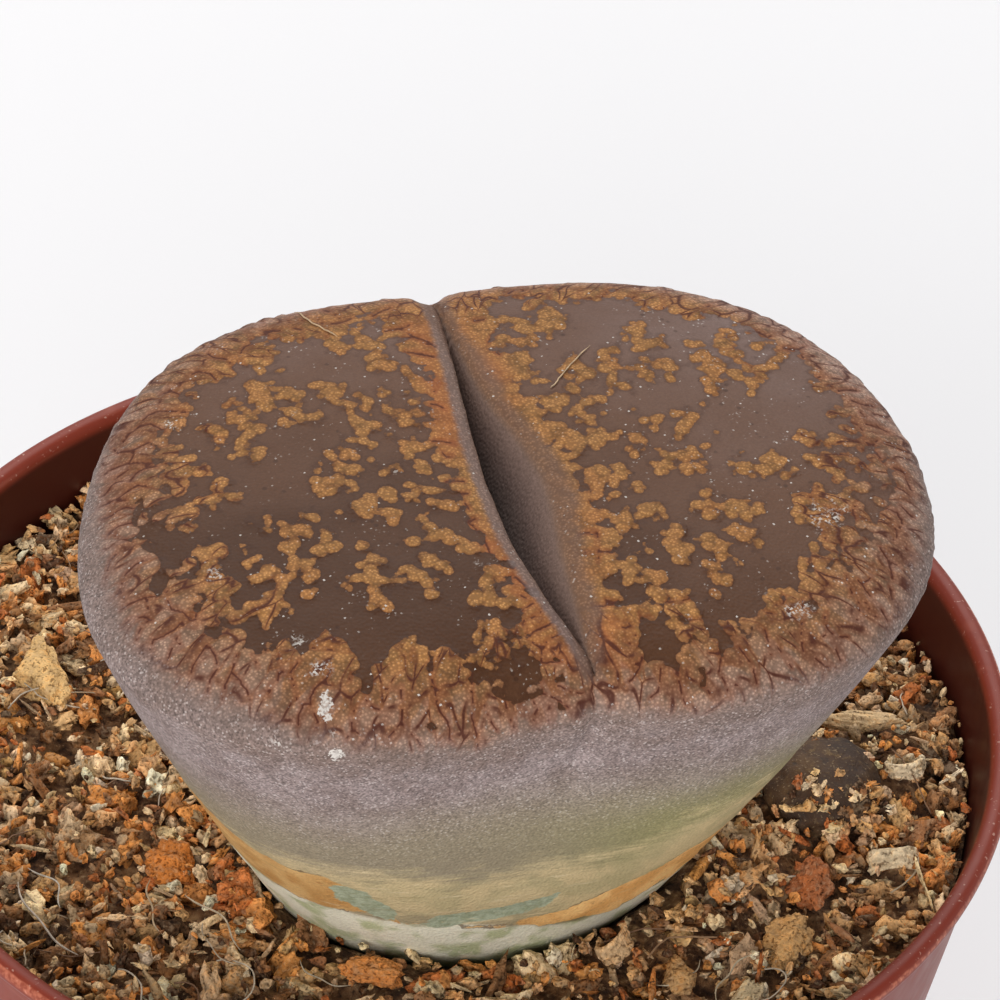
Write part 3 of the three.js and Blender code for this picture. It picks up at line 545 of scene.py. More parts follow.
def face(qx, qy):
    """Face points (mm, pot frame) and helper values at unrolled places."""
    xl, W, D = fissure(qy)
    u = qx - xl
    a = u / W
    on = (a > 0) & (a < 1) & (D > 0)
    s = np.clip(a / 0.26, 0, 1)
    b = np.clip((a - 0.26) / 0.74, 0, 1)
    U = 0.10 * D
    nx = np.where(on, np.where(a < 0.26, xl - U * s, xl - U + (W + U) * b), qx)
    drop = np.where(on, np.where(a < 0.26, D * s, D * (1 - b) ** 2 * (1 + 0.35 * b)), 0)
    lip = np.where(on, 0, 1) * np.where(u <= 0, np.clip(1 + u / 1.25, 0, 1) ** 2, 0) * 0.30 * np.clip(D / 2, 0, 1)
    lip_wall = np.where(on & (a < 0.26), 0.30 * np.clip(D / 2, 0, 1) * (1 - s), 0)
    right = np.where((a >= 1), np.clip(1 - (u - W) / 1.6, 0, 1) ** 2 * 0.10 * np.clip(D / 3, 0, 1), 0)
    t = np.arctan2(qy, nx)
    sig = np.hypot(nx, qy) * RB / outline(t)
    P, rho, w = body(sig, t)
    P[..., 2] -= drop + lip + lip_wall + right + np.where(on & (a >= 0.26), 0.10 * np.clip(D / 3, 0, 1) * b, 0)
    for pts, amp, wid in ((CREASE_FRONT, 0.34, 0.62), (CREASE_BACK, 0.55, 0.85)):
        d = polyline_distance(nx, qy, pts)
        dip = amp * np.exp(-(d / wid) ** 2)
        rr = np.hypot(nx, qy) + 1e-6
        tilt = smooth(14.0, 18.5, sig)           # from straight down on top to straight in on the flank
        P[..., 2] -= dip * (1 - 0.8 * tilt) * (1 - np.clip(drop, 0, 1))
        P[..., 0] -= dip * tilt * nx / rr
        P[..., 1] -= dip * tilt * qy / rr
    return to_pot(P), dict(u=u, W=W, D=D, on=on, a=a, b=b, drop=drop, t=t, sig=sig, rho=rho, w=w)


def near_cells(p, seed, dims=3):
    """Nearest and next cell-centre distances and the nearest cell's own random number."""
    i = np.floor(p).astype(np.int64)
    b1, b2, val = np.full(len(p), 1e9), np.full(len(p), 1e9), np.zeros(len(p))
    for cx in (-1, 0, 1):
        for cy in (-1, 0, 1):
            for cz in ((-1, 0, 1) if dims == 3 else (0,)):
                c = i + np.array([cx, cy, cz])
                h = (c[:, 0] * 374761393 + c[:, 1] * 668265263 + c[:, 2] * 1103515245 + seed * 974634777) & 0xFFFFFFFF
                h = ((h ^ (h >> 13)) * 1274126177) & 0xFFFFFFFF
                h = h ^ (h >> 16)
                o = np.stack([(h & 1023) / 1023, ((h >> 10) & 1023) / 1023, ((h >> 20) & 1023) / 1023], -1)
                if dims == 2:
                    o[:, 2] = 0.5
                d = np.linalg.norm(c + 0.5 + (o - 0.5) * 0.85 - p, axis=1)
                first = d < b1
                b2 = np.where(first, b1, np.minimum(b2, d))
                val = np.where(first, (h & 4095) / 4095, val)
                b1 = np.where(first, d, b1)
    return b1, b2, val


def margin_cells(t, sig, size=1.0, along=0.52, seed=3):
    """Half the gap (mm) between the nearest two cell centres, for cells `size` wide round the margin."""
    p = np.stack([RB * np.cos(t), RB * np.sin(t), along * (sig - SE)], -1)
    warp = np.stack([fbm(p / 0.8, 2, 51), fbm(p / 0.8 + 9, 2, 52), fbm(p / 0.8 + 19, 2, 53)], -1)
    b1, b2, val = near_cells((p + 0.30 * warp) / size, seed)
    return (b2 - b1) * size * 0.5, val


# how far the grown pattern reaches, against the widest section (mm along the skin, minus = on top)
LIMIT_T = [0, 12, 60, 100, 150, 180, 203, 212, 223, 233, 241, 248, 254, 262, 266, 272, 277, 282, 287, 292, 299, 307, 312, 321, 329, 335, 342, 350, 360]
LIMIT_V = [-0.9, -0.4, 0.3, 0.3, -0.1, -0.9, -1.75, -1.6, -1.3, -1.1, -1.1, -0.5, -0.1, 0.3, 0.3, 1.1, 0.4, 0.3, 0.0, -0.3, 0.0, 0.3, -0.1, -0.2, -0.1, -0.3, -0.6, -0.9, -0.9]


def pattern_values(P, h, t, sig, normal):
    """Marking fields at face points: window, crevice, zone (front-view units) and margin (mm)."""
    px, py = front_view(P)
    view = EYE - P
    facing = (normal * view).sum(-1) / np.linalg.norm(view, axis=-1)
    seen = smooth(0.02, 0.10, facing)
    win = field_at(FIELD_WIN, px, py)
    zone = field_at(FIELD_ZONE, px, py)
    crack = field_at(FIELD_CRACK, px, py)
    win = np.where(facing < 0.02, -26, win * seen - 26 * (1 - seen))
    zone = np.where(facing < 0.02, -30, zone * seen - 30 * (1 - seen))
    off = h["on"] | (h["w"] > 0.35)
    win = np.where(off, -26, win)
    zone = np.where(off, -26, zone)
    crack = np.where(off | (facing < 0.02), 30, crack)
    margin = sig - SE - np.interp(np.degrees(t) % 360, LIMIT_T, LIMIT_V)
    # where margin cells are cut apart by crevices of their own
    q = np.stack([sig * np.cos(t), sig * np.sin(t), np.full(len(t), 0.5)], -1)
    deg = np.degrees(t) % 360
    free = 1 - smooth(200, 212, deg) * smooth(345, 332, deg)
    gap, cval = margin_cells(t, sig)
    broken = fbm(np.stack([q[:, 0] / 1.6, q[:, 1] / 1.6, np.full(len(t), 3.0)], -1), 2, 71)
    own = smooth(0.5, -0.4, margin) * smooth(3.0, -2.0, win) * smooth(-7.4, -4.8, margin)
    own = own * smooth(-0.75, -0.25, broken + 0.45 * free)
    return px, py, win, zone, crack, margin, facing, gap, free, own, cval


def normals_of(fn, qx, qy, e=0.02):
    a = fn(qx + e, qy)[0] - fn(qx - e, qy)[0]
    b = fn(qx, qy + e)[0] - fn(qx, qy - e)[0]
    n = np.cross(a, b)
    n /= np.maximum(np.linalg.norm(n, axis=-1, keepdims=True), 1e-12)
    return n


W_FACE = 0.16                                    # the unrolled map ends this far down the flank
SIG_MAX = SE + np.interp(W_FACE, _w, _arcf)
RING = 512


def q_of(sig, t):
    k = sig * outline(t) / RB
    return k * np.cos(t), k * np.sin(t)


# candidate places: outlines of the markings first, so that their borders run along mesh edges
step = 0.085
ax = np.arange(-23, 23, step)
QX, QY = np.meshgrid(ax, ax)
_t = np.arctan2(QY, QX)
_s = np.hypot(QX, QY) * RB / outline(_t)
inside = _s < SIG_MAX - 0.05
shape = QX.shape
P, h = face(QX.ravel(), QY.ravel())
P3 = P.reshape(*shape, 3)
gx = np.zeros_like(P3); gy = np.zeros_like(P3)
gx[:, 1:-1] = P3[:, 2:] - P3[:, :-2]
gy[1:-1] = P3[2:] - P3[:-2]
N = np.cross(gx, gy)
N /= np.maximum(np.linalg.norm(N, axis=-1, keepdims=True), 1e-12)
vals = pattern_values(P, h, h["t"], h["sig"], N.reshape(-1, 3))
win_g, crack_g = vals[2].reshape(shape), vals[4].reshape(shape)


def crossings(F, level):
    out = []
    G = F - level
    s = (G[:, :-1] > 0) != (G[:, 1:] > 0)
    i, j = np.nonzero(s & inside[:, :-1] & inside[:, 1:] & (np.abs(G[:, :-1]) < 12) & (np.abs(G[:, 1:]) < 12))
    f = G[i, j] / (G[i, j] - G[i, j + 1])
    out.append(np.stack([QX[i, j] + f * step, QY[i, j]], -1))
    s = (G[:-1] > 0) != (G[1:] > 0)
    i, j = np.nonzero(s & inside[:-1] & inside[1:] & (np.abs(G[:-1]) < 12) & (np.abs(G[1:]) < 12))
    f = G[i, j] / (G[i, j] - G[i + 1, j])
    out.append(np.stack([QX[i, j], QY[i, j] + f * step], -1))
    return np.concatenate(out)


cell = 0.09
taken = {}
picked = []


def take(points, dmin):
    """Keeps points that stay dmin clear of those already kept."""
    r = int(math.ceil(dmin / cell))
    d2 = dmin * dmin
    for x, y in points:
        i, j = int(math.floor(x / cell)), int(math.floor(y / cell))
        ok = True
        for a in range(i - r, i + r + 1):
            for b in range(j - r, j + r + 1):
                for q in taken.get((a, b), ()):
                    if (q[0] - x) ** 2 + (q[1] - y) ** 2 < d2:
                        ok = False
                        break
                if not ok:
                    break
            if not ok:
                break
        if ok:
            taken.setdefault((i, j), []).append((x, y))
            picked.append((x, y))


ring_t = np.arange(RING) / RING * 2 * math.pi
rx, ry = q_of(np.full(RING, SIG_MAX), ring_t)
take(zip(rx, ry), 0.01)
# rows along the fissure's sharp edge and down its wall
yy = np.arange(-13.8, 14.2, 0.10)
xl, W, D = fissure(yy)
for a in (0.0, 0.05, 0.13, 0.20, 0.26, 0.33):
    take(zip(xl + a * W, yy), 0.045)
for o in (-0.05, -0.14, -0.28, -0.46):
    take(zip(xl + o, yy), 0.06)
take(crossings(win_g, 0.0), 0.10)
take(crossings(crack_g, 0.0), 0.085)
take(crossings(win_g, -1.9), 0.15)
take(crossings(win_g, 1.7), 0.16)
take(crossings(crack_g, 2.2), 0.12)
n_lines = len(picked)
hexes = []
hs = 0.196
for i, y in enumerate(np.arange(-23, 23, hs * 0.866)):
    for x in np.arange(-23 + (i % 2) * hs / 2, 23, hs):
        hexes.append((x, y))
hexes = np.array(hexes)
jit = np.random.default_rng(5).uniform(-0.03, 0.03, hexes.shape)
hexes = hexes + jit
_t = np.arctan2(hexes[:, 1], hexes[:, 0])
_s = np.hypot(hexes[:, 0], hexes[:, 1]) * RB / outline(_t)
hexes = hexes[_s < SIG_MAX - 0.10]
take(hexes, 0.15)
pts = np.array(picked)
print("face places", n_lines, len(pts))
edges = [(i, (i + 1) % RING) for i in range(RING)]
res = delaunay_2d_cdt([Vector(p) for p in pts], edges, [], 1, 1e-5)
qv = np.array([tuple(v) for v in res[0]])
tri = np.array([f for f in res[2] if len(f) == 3], np.int64)
orig = res[3]
# turn all faces the same way round
ar = (qv[tri[:, 1], 0] - qv[tri[:, 0], 0]) * (qv[tri[:, 2], 1] - qv[tri[:, 0], 1]) - (qv[tri[:, 2], 0] - qv[tri[:, 0], 0]) * (qv[tri[:, 1], 1] - qv[tri[:, 0], 1])
tri[ar < 0] = tri[ar < 0][:, ::-1]
back_index = {}
for k, src in enumerate(orig):
    for s_ in src:
        if s_ < RING:
            back_index[s_] = k
ring_ids = np.array([back_index[i] for i in range(RING)])

P, h = face(qv[:, 0], qv[:, 1])
N = normals_of(face, qv[:, 0], qv[:, 1])
px, py, win, zone, crack, margin, facing, gap, free, own, cval = pattern_values(P, h, h["t"], h["sig"], N)

# flank and tap root: rings under the face's edge
fl_w = np.concatenate([np.linspace(W_FACE, 1.06, 52)[1:], [1.12, 1.2, 1.28, 1.38]])
fl_sig = SE + np.interp(fl_w, _w, _arcf)
TT, SS = np.meshgrid(ring_t, fl_sig)
PF, _, WF = body(SS.ravel(), TT.ravel())
PF = to_pot(PF)
_d = np.minimum(np.abs((np.degrees(TT.ravel()) - 288 + 180) % 360 - 180), 30)
PF[:, :2] -= (PF[:, :2] - BODY_AT[:2]) * (0.012 * np.exp(-(_d / 3.2) ** 2) * np.clip(1 - WF / 0.6, 0, 1))[:, None]
root = [(-10.2, 4.4), (-12.2, 2.5), (-15, 1.5), (-20, 0.9), (-23.4, 0.45)]
PR = np.concatenate([to_pot(np.stack([r * np.cos(ring_t) - 0.02 * z, r * np.sin(ring_t), np.full(RING, z)], -1)) for z, r in root])
tip = to_pot(np.array([[0.48, 0, -24.0]]))
nf, nfl = len(P), len(PF)
V = np.concatenate([P, PF, PR, tip])
n_all = len(V)
tris = [tri]
rows = [ring_ids] + [nf + k * RING + np.arange(RING) for k in range(len(fl_w) + len(root))]
for up_, dn in zip(rows[:-1], rows[1:]):
    u1, d1 = np.roll(up_, -1), np.roll(dn, -1)
    tris += [np.stack([up_, dn, d1], -1), np.stack([up_, d1, u1], -1)]
last = rows[-1]
tris.append(np.stack([last, np.full(RING, n_all - 1), np.roll(last, -1)], -1))
T = np.concatenate(tris)
print("plant triangles", len(T))


def pad(a, flank, root_value=0.0):
    return np.concatenate([a, flank, np.full(n_all - nf - nfl, root_value)])


T_all = pad(h["t"], TT.ravel())
S_all = pad(h["sig"], SS.ravel(), 60.0)
W_all = pad(h["w"], WF, 1.38)
win = pad(win, np.full(nfl, -26.0), -26)
zone = pad(zone, np.full(nfl, -30.0), -30)
crack = pad(crack, np.full(nfl, 30.0), 30)
margin = pad(margin, SS.ravel() - SE - np.interp(np.degrees(TT.ravel()) % 360, LIMIT_T, LIMIT_V), 40)
gap = pad(gap, np.full(nfl, 2.0), 2)
own = pad(own, np.full(nfl, 0.0), 0)
cval = pad(cval, np.full(nfl, 0.5), 0.5)
free = pad(free, np.full(nfl, 1.0), 1)
drop = pad(h["drop"], np.zeros(nfl))
fis = pad(h["u"], np.full(nfl, 30.0), 30)          # mm right of the sharp edge
fis_w = pad(h["W"], np.full(nfl, 0.1), 0.1)
in_y = pad((h["D"] > 0).astype(float) * smooth(0.3, 1.2, h["D"]), np.zeros(nfl))

# relief, along the skin's own normals
Vf = V
fn = np.cross(Vf[T[:, 1]] - Vf[T[:, 0]], Vf[T[:, 2]] - Vf[T[:, 0]])
vn = np.zeros_like(Vf)
for k in range(3):
    np.add.at(vn, T[:, k], fn)
vn /= np.maximum(np.linalg.norm(vn, axis=1, keepdims=True), 1e-12)
gro = smooth(0.15, 0.6, drop)
tissue = smooth(1.0, -1.8, win) * (1 - gro)
on_top = smooth(0.9, -0.6, margin)
rise = 0.070 * tissue * smooth(2.5, 0.5, margin)
rise -= 0.075 * np.exp(-(np.maximum(crack, 0) / 2.0) ** 2) * on_top * (1 - gro) * tissue
rise += 0.028 * fbm(V / 0.9, 3, 11) * tissue * on_top
rise += 0.018 * fbm(V / 1.6, 2, 12) * on_top
gapb = np.where(gap > 1.9, 0.6, gap)
rise += 0.13 * free * smooth(-2.8, -1.2, margin) * (smooth(0.0, 0.42, gapb) - 0.6) * smooth(1.9, 0.3, margin) * smooth(-5.0, -2.6, margin) * (1 - gro)
rise += 0.030 * fbm(V / 2.4, 3, 14) * smooth(0.35, 0.6, W_all)
# the old skin at the foot: a ragged, slightly proud corky band
deg = np.degrees(T_all) % 360


def band(angle, points):
    a, v = np.array(points).T
    return np.interp(angle, a, v, period=360)


rag = 0.55 * fbm(np.stack([V[:, 0] / 1.1, V[:, 1] / 1.1, V[:, 2] / 0.8], -1), 4, 21)
rag2 = 0.8 * fbm(np.stack([V[:, 0] / 3.5, V[:, 1] / 3.5, V[:, 2] / 1.2], -1), 3, 22)
way = W_all * 21.5                                  # mm down the flank
top_l = band(deg, [(0, .60), (40, .66), (90, .62), (140, .64), (180, .60), (205, .52), (219, .475), (223, .505), (226, .55), (232, .57), (237, .60), (243, .585), (249, .66), (255, .80), (280, .86), (288, .845), (296, .83), (305, .80), (313, .755), (320, .72), (325, .69), (338, .68)]) * 21.5
bot_l = band(deg, [(0, .80), (40, .82), (90, .80), (140, .84), (180, .80), (205, .70), (213, .715), (226, .755), (235, .765), (242, .765), (248, .775), (255, .80), (280, .86), (289, .87), (293, .89), (305, .90), (317, .90), (324, .85), (340, .86)]) * 21.5
ochre = np.minimum(way - top_l + rag * 0.5, bot_l + rag - way)
khaki = np.minimum(way - band(deg, [(0, .52), (90, .55), (180, .52), (219, .46), (232, .53), (248, .545), (258, .52), (267, .56), (278, .58), (292, .59), (305, .575), (314, .49), (320, .43), (340, .45)]) * 21.5,
                   band(deg, [(0, .86), (90, .86), (180, .84), (226, .82), (240, .80), (250, .80), (262, .84), (280, .86), (295, .88), (320, .9)]) * 21.5 - way) + rag2 * 0.6
RM = 12.5 * math.pi / 180                           # mm per degree around the foot


def patch(points):
    return polygon_field(deg * RM, way, [(a * RM, w * 21.5) for a, w in points])


g1 = patch([(242.8, .637), (246.4, .628), (250, .650), (252.3, .70), (255.3, .752), (254, .795), (249.7, .79), (246, .745), (242.8, .71)])
g2 = patch([(295.4, .738), (287.5, .754), (280, .765), (272, .770), (264, .775), (261, .80), (268, .822), (277.4, .825), (285.6, .812), (292.2, .795)])
g3 = patch([(258, .815), (264.5, .805), (270, .835), (264, .845)])
g4 = patch([(30, .66), (44, .65), (52, .70), (47, .76), (34, .74)])
g5 = patch([(120, .70), (136, .69), (150, .73), (140, .78), (124, .77)])
glauc = np.maximum.reduce([g1, g2, g3, g4, g5]) + rag * 0.35
foot = way - bot_l + rag * 0.8
rise += 0.05 * smooth(-0.05, 0.15, np.maximum(ochre, khaki * 0.6)) * (1 - smooth(-0.1, 0.1, glauc)) * smooth(0.40, 0.5, W_all)
rise += 0.05 * rag * smooth(0.5, 0.62, W_all) * smooth(1.1, 0.9, W_all)
rise = np.where(W_all > 1.1, 0, rise)
V = V + vn * rise[:, None]

# dry mineral film on the front of the left leaf
pxa, pya = front_view(V)
film = np.maximum.reduce([
    1 - np.hypot((pxa - 326) / 9, (pya - 706) / 17), 1 - np.hypot((pxa - 338) / 10, (pya - 752) / 9),
    0.75 - np.hypot((pxa - 331) / 16, (pya - 733) / 14), 0.8 - np.hypot((pxa - 318) / 42, (pya - 668) / 22),
    0.7 - np.hypot((pxa - 280) / 55, (pya - 745) / 22), 0.75 - np.hypot((pxa - 168) / 22, (pya - 424) / 14), 0.75 - np.hypot((pxa - 215) / 26, (pya - 574) / 26),
    0.7 - np.hypot((pxa - 294) / 14, (pya - 414) / 10), 0.8 - np.hypot((pxa - 828) / 44, (pya - 515) / 40), 0.72 - np.hypot((pxa - 765) / 24, (pya - 592) / 14),
    0.8 - np.hypot((pxa - 800) / 36, (pya - 610) / 26), 0.6 - np.hypot((pxa - 690) / 30, (pya - 616) / 14), 0.6 - np.hypot((pxa - 300) / 60, (pya - 640) / 26),
    0.55 - np.hypot((pxa - 480) / 60, (pya - 562) / 16)])
film = np.clip(film, -1, 1)
film = np.where((W_all > 0.4) | (pad(facing, np.full(nfl, 1.0)) < 0.05), -1, film)
film_core = np.maximum(1 - np.hypot((pxa - 326) / 8, (pya - 706) / 15), 1 - np.hypot((pxa - 337) / 8, (pya - 753) / 7))
film_core = np.where(W_all > 0.4, -1, np.clip(film_core, -1, 1))
print("rise", rise.min(), rise.max())

# ------------------------------------------------------------------ leaf pair: skin
g = Graph("leaf_skin")
win_a, crack_a, own_a, mar = g.attr("win"), g.attr("crack"), g.attr("own"), g.attr("margin")
w_a, drop_a, u_a, uw_a, iny = g.attr("w"), g.attr("drop"), g.attr("fis"), g.attr("fisw"), g.attr("infis")
och_a, kha_a, gla_a, foot_a, film_a, core_a = g.attr("ochre"), g.attr("khaki"), g.attr("glauc"), g.attr("foot"), g.attr("film"), g.attr("core")
green_a, n_m, n_l, painted_sheen_a = g.attr("green"), g.attr("mid"), g.attr("broad"), g.attr("painted_sheen")
n_c = g.noise(2600, 2, 0.6)
gran = g.voro(7000)                                   # 0 at a granule's middle
lobe = g.voro(1750)                                   # small rounded cells that make up the tissue
fl = g.t.nodes.new("ShaderNodeVectorMath"); fl.operation = "FLOOR"
turned = g.t.nodes.new("ShaderNodeVectorRotate")
turned.rotation_type = "EULER_XYZ"
turned.inputs["Rotation"].default_value = (0.62, 0.41, 0.83)
g.t.links.new(g.vmul(g.pos, (11500.0, 11500.0, 11500.0)), turned.inputs["Vector"])
g.t.links.new(turned.outputs[0], fl.inputs[0])
sn = g.t.nodes.new("ShaderNodeTexWhiteNoise")
g.t.links.new(fl.outputs[0], sn.inputs["Vector"])
sep = g.t.nodes.new("ShaderNodeSeparateColor")
g.t.links.new(sn.outputs["Color"], sep.inputs[0])
salt, r2 = sep.outputs[0], sep.outputs[1]
nc, nf, nm = g.sub(n_c, 0.5), g.sub(salt, 0.5), g.sub(n_m, 0.5)
# cells of the margin, long across the edge, cut apart by fine crevices
mcx_a = g.attr("mcx")
cv = g.t.nodes.new("ShaderNodeCombineXYZ")
for sck, nm_ in zip(cv.inputs, ("mcx", "mcy", "mcz")):
    g.t.links.new(g.attr(nm_), sck)
wn = g.t.nodes.new("ShaderNodeTexNoise")
wn.inputs["Scale"].default_value = 1.1
wn.inputs["Detail"].default_value = 0.0
g.t.links.new(cv.outputs[0], wn.inputs["Vector"])
wv = g.t.nodes.new("ShaderNodeVectorMath"); wv.operation = "MULTIPLY_ADD"
g.t.links.new(wn.outputs[1], wv.inputs[0])
wv.inputs[1].default_value = (1.1, 1.1, 0.9)
g.t.links.new(cv.outputs[0], wv.inputs[2])
c1 = g.t.nodes.new("ShaderNodeTexVoronoi"); c1.feature = "DISTANCE_TO_EDGE"; c1.inputs["Scale"].default_value = 0.88
g.t.links.new(wv.outputs[0], c1.inputs["Vector"])
cgap = g.mul(c1.outputs["Distance"], 18.5)            # px-sized units, 0.06 mm
wsep = g.t.nodes.new("ShaderNodeSeparateColor")
g.t.links.new(wn.outputs[1], wsep.inputs[0])
cval_a = g.step(g.add(wsep.outputs[2], g.mul(g.step(cgap, 0.0, 3.0), 0.12)), 0.38, 0.70)

s = g.add(win_a, g.add(g.mul(g.sub(lobe, 0.54), 9.0), g.add(g.mul(nc, 2.2), g.mul(nf, 0.8))))
win_m = g.step(s, -0.5, 0.6)
grown = g.step(g.add(mar, g.mul(nm, 1.5)), 0.75, -0.95)   # 1 where the pattern grows, 0 on the plain flank
fade = g.step(g.add(mar, g.mul(nm, 1.2)), 0.7, -0.7)
cs = g.add(crack_a, g.mul(nc, 1.2))
crack_m = g.mul(g.step(cs, 1.3, 0.0), fade)
os_ = g.add(cgap, g.add(g.mul(nc, 0.8), g.mul(g.sub(1.0, own_a), 2.0)))
own_m = g.mul(g.mul(g.step(os_, 1.35, 0.30), g.step(own_a, 0.1, 0.5)), g.step(crack_a, 3.0, 9.0))
halo = g.mx(g.step(cs, 5.0, 0.6), g.mul(g.mul(g.step(os_, 3.4, 0.6), g.step(own_a, 0.1, 0.5)), 0.7))

# windows
# window colour lighter and greyer towards the back and right: painted sheen, with some random tone
win_c = g.ramp(g.add(painted_sheen_a, g.mul(nc, 0.10)), [(0.0, lin((74, 45, 25))), (0.45, lin((98, 67, 48))), (0.80, lin((110, 84, 72))), (1.0, lin((122, 100, 92)))])
dots = g.mul(g.step(lobe, 0.26, 0.14), g.step(n_m, 0.52, 0.60))
win_c = g.mix(g.mul(dots, 0.45), win_c, lin((50, 28, 18)))
win_c = g.mix(g.mul(g.step(s, 5.0, 0.0), 0.40), win_c, lin((62, 34, 20)))
win_c = g.scale(win_c, g.mad(nf, 0.16, 1.0))

# grown tissue
to_rim = g.line(mar, -4.6, 0.3)
tis = g.ramp(to_rim, [(0.0, lin((166, 118, 68))), (0.30, lin((154, 110, 72))), (0.58, lin((158, 116, 84))), (0.84, lin((164, 130, 110))), (1.0, lin((156, 134, 124)))])
tis = g.mix(g.mul(g.step(n_m, 0.42, 0.70), 0.30), tis, lin((172, 112, 66)))
# tissue near the rim paler and greyer towards the back and right: painted sheen
tis = g.mix(g.mul(g.step(painted_sheen_a, 0.62, 0.98), g.step(to_rim, 0.1, 0.7, 0.0, 0.85)), tis, lin((190, 156, 140)))
cell = g.mul(g.step(own_a, 0.0, 0.3), g.step(cval_a, 0.0, 1.0, -0.5, 0.5))
tis = g.scale(tis, g.mad(cell, 0.34, 1.0))
tis = g.mix(g.mul(g.mul(g.step(cval_a, 0.55, 0.9), g.step(to_rim, 0.15, 0.6)), 0.45), tis, lin((142, 122, 112)))
# darker where the small rounded cells and the granules meet, bright specks at some granule middles: painted shade and
# painted highlight
tis = g.scale(tis, g.mad(g.step(lobe, 0.46, 0.72), -0.34, 1.04))
tis = g.mix(g.step(gran, 0.30, 0.66, 0.0, 0.62), tis, g.scale(tis, 0.46))
tis = g.mix(g.mul(g.step(gran, 0.34, 0.06), g.step(salt, 0.15, 0.75, 0.25, 1.0)), tis, g.vadd(g.scale(tis, 1.35), (0.13, 0.095, 0.055)))
tis = g.mix(g.mul(g.step(s, -2.4, -0.2), 0.45), tis, lin((104, 60, 34)))
tis = g.mix(g.mul(halo, 0.50), tis, lin((122, 62, 36)))

# smooth lips of the fissure, with the orange tint outside them
u_n = g.add(u_a, g.mul(nc, 0.35))
left_lip = g.mul(g.mul(g.step(u_n, -0.80, -0.42), g.step(u_a, 0.02, -0.02)), iny)
right_u = g.sub(u_a, uw_a)
ru_n = g.add(right_u, g.mul(nm, 0.9))
right_lip = g.mul(g.mul(g.step(ru_n, 0.75, 0.0), g.step(right_u, -1.2, -0.6)), iny)
tint_l = g.mul(g.mul(g.step(u_n, -2.4, -0.9), g.step(u_a, -0.2, -0.6)), iny)
tint_r = g.mul(g.mul(g.step(right_u, 2.0, 0.5), g.step(right_u, -0.4, 0.2)), iny)
tint = g.mul(g.mx(tint_l, tint_r), g.step(n_l, 0.36, 0.66))
tis = g.mix(g.mul(tint, 0.36), tis, lin((170, 92, 52)))

col = g.mix(win_m, tis, win_c)
col = g.mix(g.mul(g.mx(own_m, crack_m), g.sub(0.88, g.mul(win_m, 0.5))), col, lin((74, 35, 25)))

# plain flank
grain = g.add(nf, g.mul(g.sub(0.32, gran), 0.5))
lil = g.mix(g.step(n_m, 0.3, 0.7), lin((140, 124, 120)), lin((156, 141, 138)))
lil = g.mix(g.mul(g.step(g.add(mar, g.mul(nm, 2.0)), 3.0, 0.2), 0.72), lil, lin((128, 108, 98)))
ol = g.mix(green_a, lin((154, 142, 120)), lin((152, 146, 104)))
low = g.step(g.add(w_a, g.mul(g.sub(n_l, 0.5), 0.12)), 0.16, 0.48)
flank = g.mix(low, lil, ol)
ring = g.noise(1.0, 3, 0.65, vec=g.vmul(g.pos, (360.0, 360.0, 3400.0)))
kh = g.step(g.add(kha_a, g.add(g.mul(nm, 2.4), g.mul(g.sub(ring, 0.5), 5.0))), -1.0, 2.4)
flank = g.mix(g.mul(kh, 0.88), flank, g.mix(g.step(n_m, 0.35, 0.65), lin((200, 184, 140)), lin((220, 198, 152))))
ft = g.step(g.add(foot_a, g.mul(nm, 1.0)), -0.1, 0.5)
foot_c = g.mix(g.step(n_m, 0.32, 0.56), lin((200, 206, 162)), lin((248, 245, 222)))
foot_c = g.mix(g.mul(g.step(n_c, 0.54, 0.72), 0.7), foot_c, lin((248, 242, 222)))
foot_c = g.mix(g.step(w_a, 0.97, 1.06), foot_c, lin((120, 124, 84)))
flank = g.mix(ft, flank, foot_c)
oc_f = g.add(och_a, g.mul(nc, 0.5))
oc = g.step(oc_f, -0.05, 0.12)
och_c = g.mix(g.step(n_m, 0.35, 0.7), lin((206, 152, 88)), lin((228, 184, 120)))
# ochre up to 45% lighter on the right side of the plant: painted light
och_c = g.scale(och_c, g.step(mcx_a, 2.0, 9.0, 1.0, 1.45))
och_c = g.mix(g.mul(g.step(n_c, 0.58, 0.76), 0.6), och_c, lin((186, 124, 68)))
flank = g.mix(g.mul(oc, 0.92), flank, och_c)
crk = g.mul(g.step(g.math("ABSOLUTE", oc_f), 0.08, 0.015), g.step(n_m, 0.50, 0.62))
flank = g.mix(g.mul(crk, 0.7), flank, lin((84, 60, 40)))
gl = g.step(g.add(gla_a, g.mul(nc, 0.45)), -0.02, 0.10)
flank = g.mix(g.mul(gl, 0.95), flank, g.mix(g.step(n_c, 0.35, 0.65), lin((156, 166, 138)), lin((180, 190, 164))))
flank = g.mix(g.mul(g.mul(g.step(ring, 0.60, 0.74), g.step(kh, 0.1, 0.6)), 0.60), flank, lin((232, 214, 176)))
flank = g.mix(g.mul(g.mul(g.step(ring, 0.42, 0.30), kh), 0.45), flank, lin((150, 132, 90)))
flank = g.scale(flank, g.mad(grain, g.step(w_a, 0.70, 0.15, 0.12, 0.74), 1.0))
flank = g.mix(g.mul(g.mul(g.step(salt, 0.90, 0.99), g.step(w_a, 0.6, 0.3)), 0.30), flank, lin((226, 220, 216)))

col = g.mix(grown, flank, col)
lip_c = g.mix(g.step(gran, 0.15, 0.55), lin((140, 120, 114)), lin((116, 98, 92)))
col = g.mix(g.mul(left_lip, 0.85), col, lip_c)
col = g.mix(g.mul(right_lip, 0.80), col, g.mix(g.step(gran, 0.15, 0.55), lin((128, 100, 84)), lin((106, 80, 66))))
